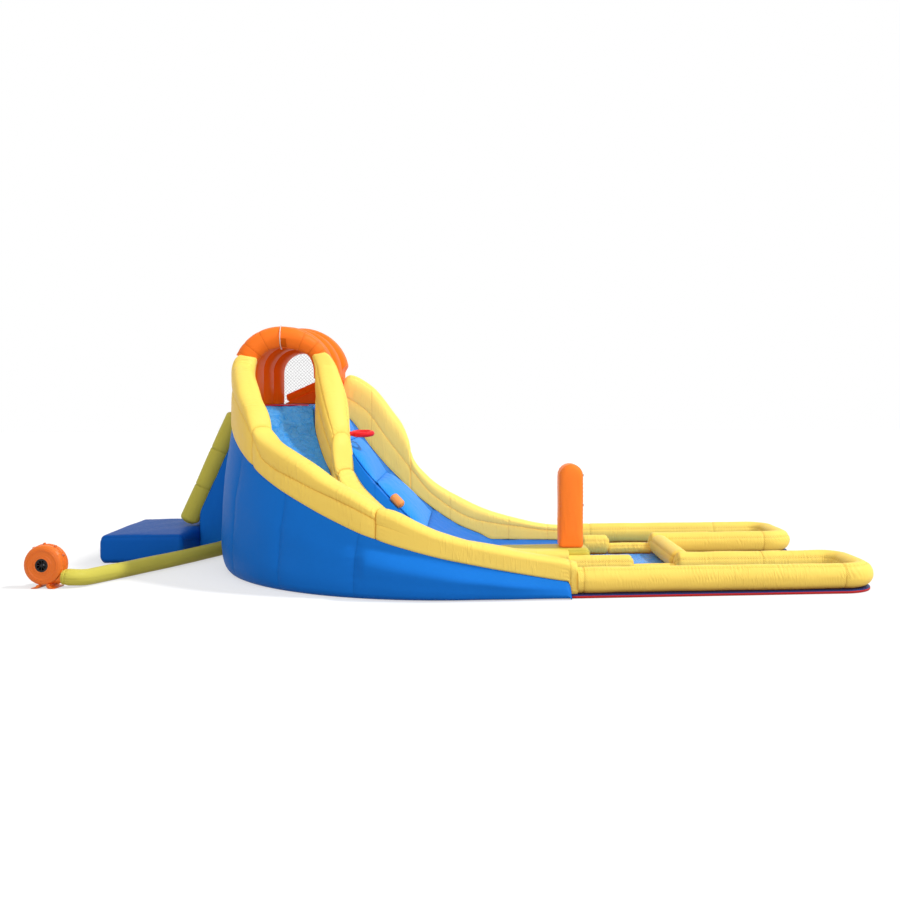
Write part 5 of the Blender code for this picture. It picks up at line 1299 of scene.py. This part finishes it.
def make_rear():
    """Rear ramp: a soft block with a sloping top. Tubes: bolsters up the slope. Cushion: a crowned block."""
    rings, corners = soft_block((RAMP_FOOT, RAMP_SIDE, 0.0), (-WALL_TOP + 0.015, TOWER_BACK, 1.0), 0.03)
    steep = (RAMP_HEIGHTS[1] - RAMP_HEIGHTS[0]) / (-WALL_TOP - TOWER_BULGE - RAMP_FOOT)
    rings[:, :, 2] *= RAMP_HEIGHTS[0] + steep * (rings[:, :, 0] - RAMP_FOOT)
    sewn_skin("rear_ramp", "blue_vinyl", rings, corners, seed=111, groove=0.004)
    (x0, y0), (x1, y1), tall = CUSHION
    rings, corners = soft_block((x0, y0, 0.0), (x1, y1, tall), 0.06, columns=128)
    a, b = (np.clip((rings[:, :, k] - low) / (high - low), 0, 1)
            for k, low, high in ((0, x0, x1), (1, y0, y1)))
    crown = (16 * a * (1 - a) * b * (1 - b)) ** 0.6
    rings[:, :, 2] += 0.016 * crown * (rings[:, :, 2] > tall * 0.6)
    pad = sewn_skin("landing_cushion", "shaded_blue_vinyl", rings, corners, seed=112, groove=0.005,
                    pucker=0.006, pitch=0.06, sway=0.004)
    for node, y, seed in (("ramp_guard_near", RAMP_SIDE + RAMP_GUARD, 113),
                          ("ramp_guard_far", TOWER_BACK - RAMP_GUARD, 114)):
        z = np.array(RAMP_GUARD_ENDS)
        x = RAMP_FOOT + (z - RAMP_HEIGHTS[0]) / steep - (RAMP_GUARD + GAP) * math.hypot(1, 1 / steep)
        air_tube(node, "lime_vinyl", grid(x, y, z), RAMP_GUARD + 0.022, (0, 24), (0.45, 0.9), up=(0, 1, 0),
                 seed=seed)


# Lanes and pool

def end_arcs(end, near, far, corner, count):
    """The two quarter circles round a lane's end, in plan, from its near side to its far side."""
    t = np.linspace(-np.pi / 2, 0, count)
    return [np.stack((end - corner + corner * np.cos(a), y + corner * np.sin(a)), axis=1)
            for a, y in ((t, near + corner), (t + np.pi / 2, far - corner))]


def lane_path(start, end, near, far, back):
    """A lane's wall in plan: along its near side, round its end and back."""
    points = np.concatenate(([(start, near)], *end_arcs(end, near, far, LANE_CORNER, 16), [(back, far)]))
    return grid(points[:, 0], points[:, 1], LANE_Z)


def make_lane_walls():
    """Lane walls, the cross wall, bolsters and lips: sewn tubes with a seam along each side."""
    start = 1.0 + GAP
    turn = CROSS_X - 0.10
    near_y, far_y = NEAR_WALL[1], FAR_WALL[0]
    fold = dict(pitch=0.032, pucker=0.0052, reach=0.040, slack=(1,))
    path = lane_path(start, NEAR_END - LANE_TUBE, *NEAR_WALL, turn)
    air_tube("near_lane_wall", "yellow_vinyl", path, LANE_TUBE, (8, 20), (0.055, 2.45, 4.1), start=False,
             seed=121, step=0.006, **fold)
    path = lane_path(turn, FAR_END - LANE_TUBE, *FAR_WALL, CLIMB_END + 2 * GAP)
    air_tube("far_lane_wall", "yellow_vinyl", path, LANE_TUBE, (4, 20), (1.3, 2.9, 4.4), end=False, seed=122,
             step=0.008, **fold)
    room = LANE_TUBE + 2 * GAP
    cross = ((CROSS_X, near_y + room, LANE_Z), (CROSS_X, far_y - room, LANE_Z))
    air_tube("cross_wall", "yellow_vinyl", cross, LANE_TUBE * 0.97, (4, 20), seed=130, **fold)
    for number, (node, x0, x1, y, z, radius, closed) in enumerate((
            ("near_bolster", start, 1.65, near_y, 0.1354, 0.105, False),
            ("far_bolster", 1.27, 1.61, far_y, 0.1354, 0.105, True),
            ("near_lip", 1.61, 2.09, near_y, 0.0904, 0.06, True),
            ("far_lip", 1.57, 2.09, far_y, 0.0904, 0.06, True))):
        air_tube(node, "yellow_vinyl", ((x0, y, z), (x1, y, z)), radius, (4, 20), start=closed,
                 seed=131 + number, **fold)


def make_bases():
    """Base sheets: slabs with a rolled edge, bound along their top; and the blue floors sewn onto them."""
    near_side = -(WALL_TOP + WALL_LEAN) + 0.025
    edge, middle = NEAR_WALL[1] + LANE_TUBE, FAR_WALL[0] - LANE_TUBE
    far = FAR_WALL[1] + LANE_TUBE + 0.005
    round_end = LANE_CORNER + LANE_TUBE
    bind_edge(cloth("base_vinyl"))
    for node, x0, x1, y0, y1, corner in (
            ("near_lane_base", 0.940, NEAR_END - 0.035, near_side, edge, round_end),
            ("pool_base", CLIMB_END + GAP, CROSS_X + LANE_TUBE, edge + GAP, middle - GAP, 0.02),
            ("far_lane_base", CLIMB_END + GAP, FAR_END - 0.035, middle, far, round_end)):
        side = np.linspace(x0, x1 - corner, 60)[:-1]
        end = np.linspace(y1, y0, 14)[1:-1]
        outline = np.concatenate((np.stack((side, np.full(59, y0)), axis=1),
                                  *end_arcs(x1, y0, y1, corner, 26),
                                  np.stack((side[::-1], np.full(59, y1)), axis=1),
                                  np.stack((np.full(12, x0), end), axis=1)))
        centre = np.array(((x0 + x1) / 2, (y0 + y1) / 2))
        half = np.array(((x1 - x0) / 2, (y1 - y0) / 2))
        inset, z = np.array(((0.30, 0.0), (0.02, 0.0), (0.004, 0.002), (0.0, 0.008), (0.0, 0.022),
                             (0.002, 0.0225), (0.002, 0.0285), (0.006, 0.030), (0.02, 0.030),
                             (0.30, 0.030))).T
        scale = 1 - np.minimum(inset[:, None], half * 0.9) / half
        flat = centre + (outline - centre) * scale[:, None]
        dress(node, grid(flat[..., 0], flat[..., 1], z[:, None]), "base_vinyl")
    water = wet_vinyl("pool_sheet", (0.16, 0.50, 0.96), 6.0, 0.006, 0.45)
    near_lane, far_lane = ((y0 + 0.06, y1 - 0.06) for y0, y1 in (NEAR_WALL, FAR_WALL))
    inside = 2 * LANE_TUBE + 0.02
    for number, (name, x0, x1, (y0, y1)) in enumerate((
            ("near_lane_floor", 1.006, NEAR_END - inside, near_lane),
            ("pool_floor", CLIMB_END + 0.01, CROSS_X - 0.03, (edge - 0.05, middle + 0.05)),
            ("far_lane_floor", CLIMB_END + 0.01, FAR_END - inside, far_lane))):
        x = np.linspace(x0, x1, int((x1 - x0) / FLOOR_STEP))[:, None]
        y = np.linspace(y0, y1, int((y1 - y0) / FLOOR_STEP))
        rim = np.minimum(np.minimum(x - x0, x1 - x), np.minimum(y - y0, y1 - y))
        folds = 0.5 + 0.5 * ripple(x / 0.21, y / 0.13, 140 + number, 11)
        top = grid(x, y, 0.0335 + 0.010 * folds * ease(rim / 0.05))
        tie(skin(name, np.concatenate((top, grid(x, (y1, y0), 0.0312)), axis=1)), water)


# Blower, duct and fittings

def blower_frame(points):
    """Turns points from the blower's own frame, inlet towards -Y and outlet towards +X, to their place."""
    c, s = math.cos(BLOWER_TURN), math.sin(BLOWER_TURN)
    x, y, z = np.moveaxis(points, -1, 0)
    return grid(BLOWER_PLACE[0] + c * x - s * y, BLOWER_PLACE[1] + s * x + c * y, z)


def turned(name, profile, steps, material):
    """A ring: a closed outline of (radius, depth) pairs turned about the blower's axis."""
    t = np.linspace(0, 2 * np.pi, steps, endpoint=False)[:, None]
    r, depth = np.array(profile).T
    rings = blower_frame(grid(r * np.cos(t), depth, SCROLL_CENTRE + r * np.sin(t)))
    tie(skin(name, rings, wrap_rows=True), material)


def pin(name, material, degrees, depths, sizes, sides):
    """A round or sided pin through the scroll's flange: its radius at each depth."""
    t = np.linspace(0, 2 * np.pi, sides, endpoint=False)
    size, out, a = np.array(sizes)[:, None], SCROLL_RADIUS + 0.006, math.radians(degrees)
    x, z = out * math.cos(a) + size * np.cos(t), SCROLL_CENTRE + out * math.sin(a) + size * np.sin(t)
    tie(skin(name, blower_frame(grid(x, np.array(depths)[:, None], z))), material)


def make_foot(name, side, shift, material, nodes):
    """A foot under the scroll: an outline from its pad up to the shell, corners cut, drawn out along Y."""
    x = shift + np.array([0.038, 0.098, 0.101, 0.096, 0.068, 0.050, 0.045, 0.018, 0.022, 0.031])
    z = np.array([0.0, 0.0, 0.004, 0.009, 0.013, 0.022, 0.0, 0.0, 0.018, 0.009])
    z[6:8] = SCROLL_CENTRE - np.sqrt(SCROLL_RADIUS ** 2 - x[6:8] ** 2) + 0.003
    outline = np.stack((side * x, z), axis=1)[::side]
    for _ in range(3):
        after = np.roll(outline, -1, axis=0)
        outline = np.stack((0.8 * outline + 0.2 * after, 0.2 * outline + 0.8 * after), axis=1).reshape(-1, 2)
    outline[:, 1] = np.maximum(outline[:, 1], 0.0)
    middle = outline.mean(axis=0)
    y, size = np.array(((-0.084, 0.93), (-0.0825, 1.0), (0.0825, 1.0), (0.084, 0.93))).T[:, :, None]
    flat = middle + (outline - middle) * size[:, :, None]
    rings = grid(flat[..., 0], y, np.maximum(flat[..., 1], 0.0))
    tie(skin(name, blower_frame(rings)), material, nodes)


def make_blower():
    """Blower: raised rings, rim bolts and feet over the scroll's halves, and finishes for the rest."""
    shell = plastic("blower_plastic", (0.86, 0.180, 0.018), gloss=0.32)
    black = plastic("black_plastic", (0.008, 0.008, 0.009), gloss=0.50)
    rotor = plastic("rotor_plastic", (0.012, 0.012, 0.013), gloss=0.50)
    metal = plastic("motor_metal", (0.30, 0.31, 0.32), gloss=0.34, grain=400.0, metallic=0.85)
    for material, nodes in ((shell, ("scroll_front", "scroll_rear", "outlet_spout")), (rotor, ("impeller",)),
                            (black, ("inlet_grille", "terminal_box", "rocker_switch", "cable_gland",
                                     "hose_clip_upper", "hose_clip_lower")),
                            (metal, ("motor_shaft", "motor_casing", "zip_slider"))):
        for node in nodes:
            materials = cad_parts[node].data.materials
            materials.clear()
            materials.append(material)
    R, h = SCROLL_RADIUS, SCROLL_HALF
    turned("inlet_collar", [(0.0615, -h - 0.0002), (0.0625, -h - 0.0052), (0.0700, -h - 0.0058),
                            (0.0745, -h - 0.0030), (0.0760, -h - 0.0002)], 120, shell)
    turned("scroll_flange", [(R - 0.0005, -0.0055), (R + 0.0035, -0.0045), (R + 0.0045, 0.0),
                             (R + 0.0035, 0.0045), (R - 0.0005, 0.0055)], 160, shell)
    turned("scroll_ring", [(0.1420, -h + 0.0002), (0.1428, -h - 0.0022), (0.1455, -h - 0.0030),
                           (0.1482, -h - 0.0010), (0.1490, -h + 0.0040)], 140, shell)
    make_foot("blower_foot_left", -1, 0.0, shell, ("blower_stand",))
    make_foot("blower_foot_right", 1, 0.028, shell, ())
    # Lugs and bolts round the flange, clear of the spout and the stand
    for number, degrees in enumerate((28, 62, 95, 128, 160, 193), 1):
        pin(f"flange_lug_{number}", shell, degrees, (-0.013, -0.0115, 0.0115, 0.013),
            (0.0075, 0.0095, 0.0095, 0.0075), 20)
        pin(f"flange_bolt_{number}", metal, degrees, (-0.0185, -0.018, -0.013, -0.0125),
            (0.0035, 0.0048, 0.0048, 0.0048), 6)


def make_duct():
    """Inflation duct: a fabric sleeve, gathered over the spout by a strap and sewn to the ramp's collar."""
    way = np.array((math.cos(BLOWER_TURN), math.sin(BLOWER_TURN), 0.0))
    mouth = np.array((*BLOWER_PLACE, SPOUT_HEIGHT)) + way * (SPOUT_END - 0.032)
    points, run = resample([mouth, mouth + way * DUCT_RADIUS / 2, *DUCT_ROUTE], 0.007)
    for _ in range(60):
        points[1:-1] = (points[:-2] + 2 * points[1:-1] + points[2:]) / 4
    radius = DUCT_RADIUS * (1 - 0.14 * np.exp(-((run - 0.02) / 0.018) ** 2) - 0.05 * np.exp(-run / 0.03))
    rings, seam = sew(swept(points, radius, 56), (30,), (), pucker=0.0022, groove=0.003, sway=0.0022,
                      seed=151)
    t = np.linspace(0, 2 * np.pi, 56, endpoint=False)
    gather = np.exp(-np.maximum(run - 0.02, 0) / 0.05)[:, None] * np.cos(17 * t + 1.5 * np.sin(3 * t))
    rings = rings + outward(rings) * (0.0055 * gather)[:, :, None]
    rings[:, :, 2] = np.maximum(rings[:, :, 2], 0.001)
    dress("inflation_duct", rings, "lime_vinyl", seam)
    at = nearest(run, 0.020)
    path = swept(points[at - 1:at + 2], radius[at] + 0.0035, 80)[1]
    band = swept(np.concatenate((path, path[:1])), 0.0045, 10, points[at + 1] - points[at], 1.8)[:-1]
    tie(skin("duct_tie", band, wrap_rows=True), cloth("lime_vinyl"))
    t = np.append(np.linspace(0, 2 * np.pi, 90, endpoint=False), 0.0)
    reach, end = DUCT_RADIUS + 0.0045, DUCT_ROUTE[-1]
    ring = grid(end[0] + reach * np.cos(t), RAMP_SIDE - GAP - 0.009, end[2] + reach * np.sin(t))
    cuff = swept(ring, 0.0040, 14, (0, 1, 0), 2.1)[:-1]
    cuff[:, :, 2] = np.maximum(cuff[:, :, 2], 0.001)
    dress("duct_collar", cuff, "blue_vinyl", wrap_rows=True)


def make_fittings():
    """Anchor loop: a band of webbing folded back on itself. Zip: a woven tape."""
    low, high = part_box("anchor_loop")
    t = np.linspace(0, np.pi, 12)[1:-1]
    side = np.linspace(high.y, low.y + 0.004, 10)
    out = np.concatenate((side, low.y + 0.004 - 0.0038 * np.sin(t), side[::-1]))
    up = np.concatenate((np.full(10, 0.0012), 0.006 - 0.0048 * np.cos(t), np.full(10, 0.0108)))
    path = grid((low.x + high.x) / 2, out, up)
    band = swept(path, 0.03, 24, (1.0, 0.0, 0.0)) - path[:, None]
    dress("anchor_loop", path[:, None] + band * (1.0, 0.035, 0.035), "webbing")
    dress("zip_tape", soft_block(*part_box("zip_tape"), 0.0015)[0], "zip_tape")


# Camera, floor and lamps

SENSOR_WIDTH = 36.0
SENSOR_SHIFT = (-0.1256, -0.0611)
FLOOR_REACH, FLOOR_DROP, FLOOR_GLOW = 40.0, 0.0005, 0.56


def link(name, data):
    made = bpy.data.objects.new(name, data)
    bpy.context.scene.collection.objects.link(made)
    return made


def seen_by(tree, first, *others):
    """1 for the kinds of rays that are named and 0 for the rest."""
    rays = add(tree, "LightPath").outputs
    seen = Wire(rays[f"Is {first} Ray"])
    for kind in others:
        seen = calc("MAXIMUM", seen, Wire(rays[f"Is {kind} Ray"]))
    return seen


def make_stage():
    """The photograph's camera, a pale floor and a plain light: a wide soft key and an even fill."""
    stage = bpy.context.scene.park_stage
    view = bpy.data.cameras.new("camera")
    camera = link("camera", view)
    camera.location = stage.eye
    camera.rotation_euler = (math.radians(90), 0.0, -stage.turn)
    view.lens = stage.lens
    view.sensor_width = SENSOR_WIDTH
    view.shift_x, view.shift_y = SENSOR_SHIFT
    view.clip_end = 200.0
    bpy.context.scene.camera = camera

    n = FLOOR_REACH
    mesh = bpy.data.meshes.new("floor")
    mesh.from_pydata([(-n, -n, 0.0), (n, -n, 0.0), (n, n, 0.0), (-n, n, 0.0)], [], [(0, 1, 2, 3)])
    floor = link("floor", mesh)
    floor.location.z = -FLOOR_DROP
    material, tree, shader = empty_material("floor")
    shader.inputs["Base Color"].default_value = (0.42, 0.42, 0.42, 1.0)
    shader.inputs["Roughness"].default_value = 0.9
    shader.inputs["Emission Color"].default_value = (1.0, 1.0, 1.0, 1.0)
    feed(tree, seen_by(tree, "Camera", "Glossy") * FLOOR_GLOW, shader.inputs["Emission Strength"])
    mesh.materials.append(material)

    for name, strength, angle, towards in (("key", stage.key, 5, (0.62, -0.08, 0.78)),
                                           ("front", stage.front, 75, (0.25, -0.86, 0.42))):
        light = bpy.data.lights.new(name, "SUN")
        light.energy = strength
        light.angle = math.radians(angle)
        link(name, light).rotation_euler = Vector(towards).to_track_quat("Z", "Y").to_euler()

    world = bpy.data.worlds.new("studio")
    bpy.context.scene.world = world
    world.use_nodes = True
    back = world.node_tree.nodes["Background"]
    back.inputs["Color"].default_value = (1.0, 1.0, 1.0, 1.0)
    seen = seen_by(world.node_tree, "Camera", "Glossy", "Transmission")
    feed(world.node_tree, seen * (1.0 - stage.fill) + stage.fill, back.inputs["Strength"])
    bpy.context.scene.view_settings.view_transform = "Standard"


class PARK_OT_stage(bpy.types.Operator):
    """Camera, pale floor and plain soft light"""
    bl_idname = "park.stage"
    bl_label = "Stage"

    def execute(self, context):
        make_stage()
        return {"FINISHED"}


class PARK_OT_hose(bpy.types.Operator):
    """Spray hose over the front arch, its nozzle and its patch"""
    bl_idname = "park.hose"
    bl_label = "Spray hose"

    def execute(self, context):
        make_hose()
        return {"FINISHED"}


class PARK_OT_slide(bpy.types.Operator):
    """Blue slide body and the slide's sheet"""
    bl_idname = "park.slide"
    bl_label = "Slide"

    def execute(self, context):
        make_slide_body()
        make_slide_bed()
        return {"FINISHED"}


class PARK_OT_slide_guards(bpy.types.Operator):
    """Outer guard and divider"""
    bl_idname = "park.slide_guards"
    bl_label = "Slide guards"

    def execute(self, context):
        make_slide_guards()
        return {"FINISHED"}


class PARK_OT_climbing_lane(bpy.types.Operator):
    """Climbing lane, its pillows, far guard, hoop and hand hold"""
    bl_idname = "park.climbing_lane"
    bl_label = "Climbing lane"

    def execute(self, context):
        make_climbing_body()
        make_pillows()
        make_far_guards()
        make_hoop()
        make_hand_hold()
        return {"FINISHED"}


class PARK_OT_step_and_pillar(bpy.types.Operator):
    """Lime step and spray pillar"""
    bl_idname = "park.step_and_pillar"
    bl_label = "Step and pillar"

    def execute(self, context):
        make_step_and_pillar()
        return {"FINISHED"}


class PARK_OT_tower(bpy.types.Operator):
    """Tower, canopy and window"""
    bl_idname = "park.tower"
    bl_label = "Tower and canopy"

    def execute(self, context):
        make_tower()
        make_front_arch()
        make_ribs()
        make_window()
        make_net()
        return {"FINISHED"}


class PARK_OT_rear(bpy.types.Operator):
    """Rear ramp, its tubes and the landing cushion"""
    bl_idname = "park.rear"
    bl_label = "Rear ramp and cushion"

    def execute(self, context):
        make_rear()
        return {"FINISHED"}


class PARK_OT_lanes(bpy.types.Operator):
    """Lane walls, bolsters, base sheets and pool floors"""
    bl_idname = "park.lanes"
    bl_label = "Lanes and pool"

    def execute(self, context):
        make_lane_walls()
        make_bases()
        return {"FINISHED"}


class PARK_OT_blower(bpy.types.Operator):
    """Blower, inflation duct and small fittings"""
    bl_idname = "park.blower"
    bl_label = "Blower and fittings"

    def execute(self, context):
        make_blower()
        make_duct()
        make_fittings()
        return {"FINISHED"}


class PARK_PT_panel(bpy.types.Panel):
    """Sizes, colours and making steps of the water park"""
    bl_idname = "PARK_PT_panel"
    bl_label = "Water park"
    bl_space_type = "VIEW_3D"
    bl_region_type = "UI"
    bl_category = "Water park"

    def draw(self, context):
        layout = self.layout
        for holder in ("park_colours", "park_cloth", "park_stage"):
            group_of = getattr(context.scene, holder)
            for key in group_of.__annotations__:
                layout.prop(group_of, key)
        for made in OPERATORS:
            layout.operator(made.bl_idname)


OPERATORS = (PARK_OT_stage, PARK_OT_hose, PARK_OT_slide, PARK_OT_slide_guards, PARK_OT_climbing_lane,
             PARK_OT_step_and_pillar, PARK_OT_tower, PARK_OT_rear, PARK_OT_lanes, PARK_OT_blower)
GROUPS = (("park_colours", ParkColours), ("park_cloth", ParkCloth), ("park_stage", ParkStage))


def register():
    for holder, kind in GROUPS:
        bpy.utils.register_class(kind)
        setattr(bpy.types.Scene, holder, bpy.props.PointerProperty(type=kind))
    for kind in (*OPERATORS, PARK_PT_panel):
        bpy.utils.register_class(kind)


def unregister():
    for kind in (PARK_PT_panel, *reversed(OPERATORS)):
        bpy.utils.unregister_class(kind)
    for holder, kind in reversed(GROUPS):
        delattr(bpy.types.Scene, holder)
        bpy.utils.unregister_class(kind)


def main():
    register()
    bpy.ops.park.stage()
    bpy.ops.park.hose()
    bpy.ops.park.slide()
    bpy.ops.park.slide_guards()
    bpy.ops.park.climbing_lane()
    bpy.ops.park.step_and_pillar()
    bpy.ops.park.tower()
    bpy.ops.park.rear()
    bpy.ops.park.lanes()
    bpy.ops.park.blower()


if __name__ == "__main__":
    main()
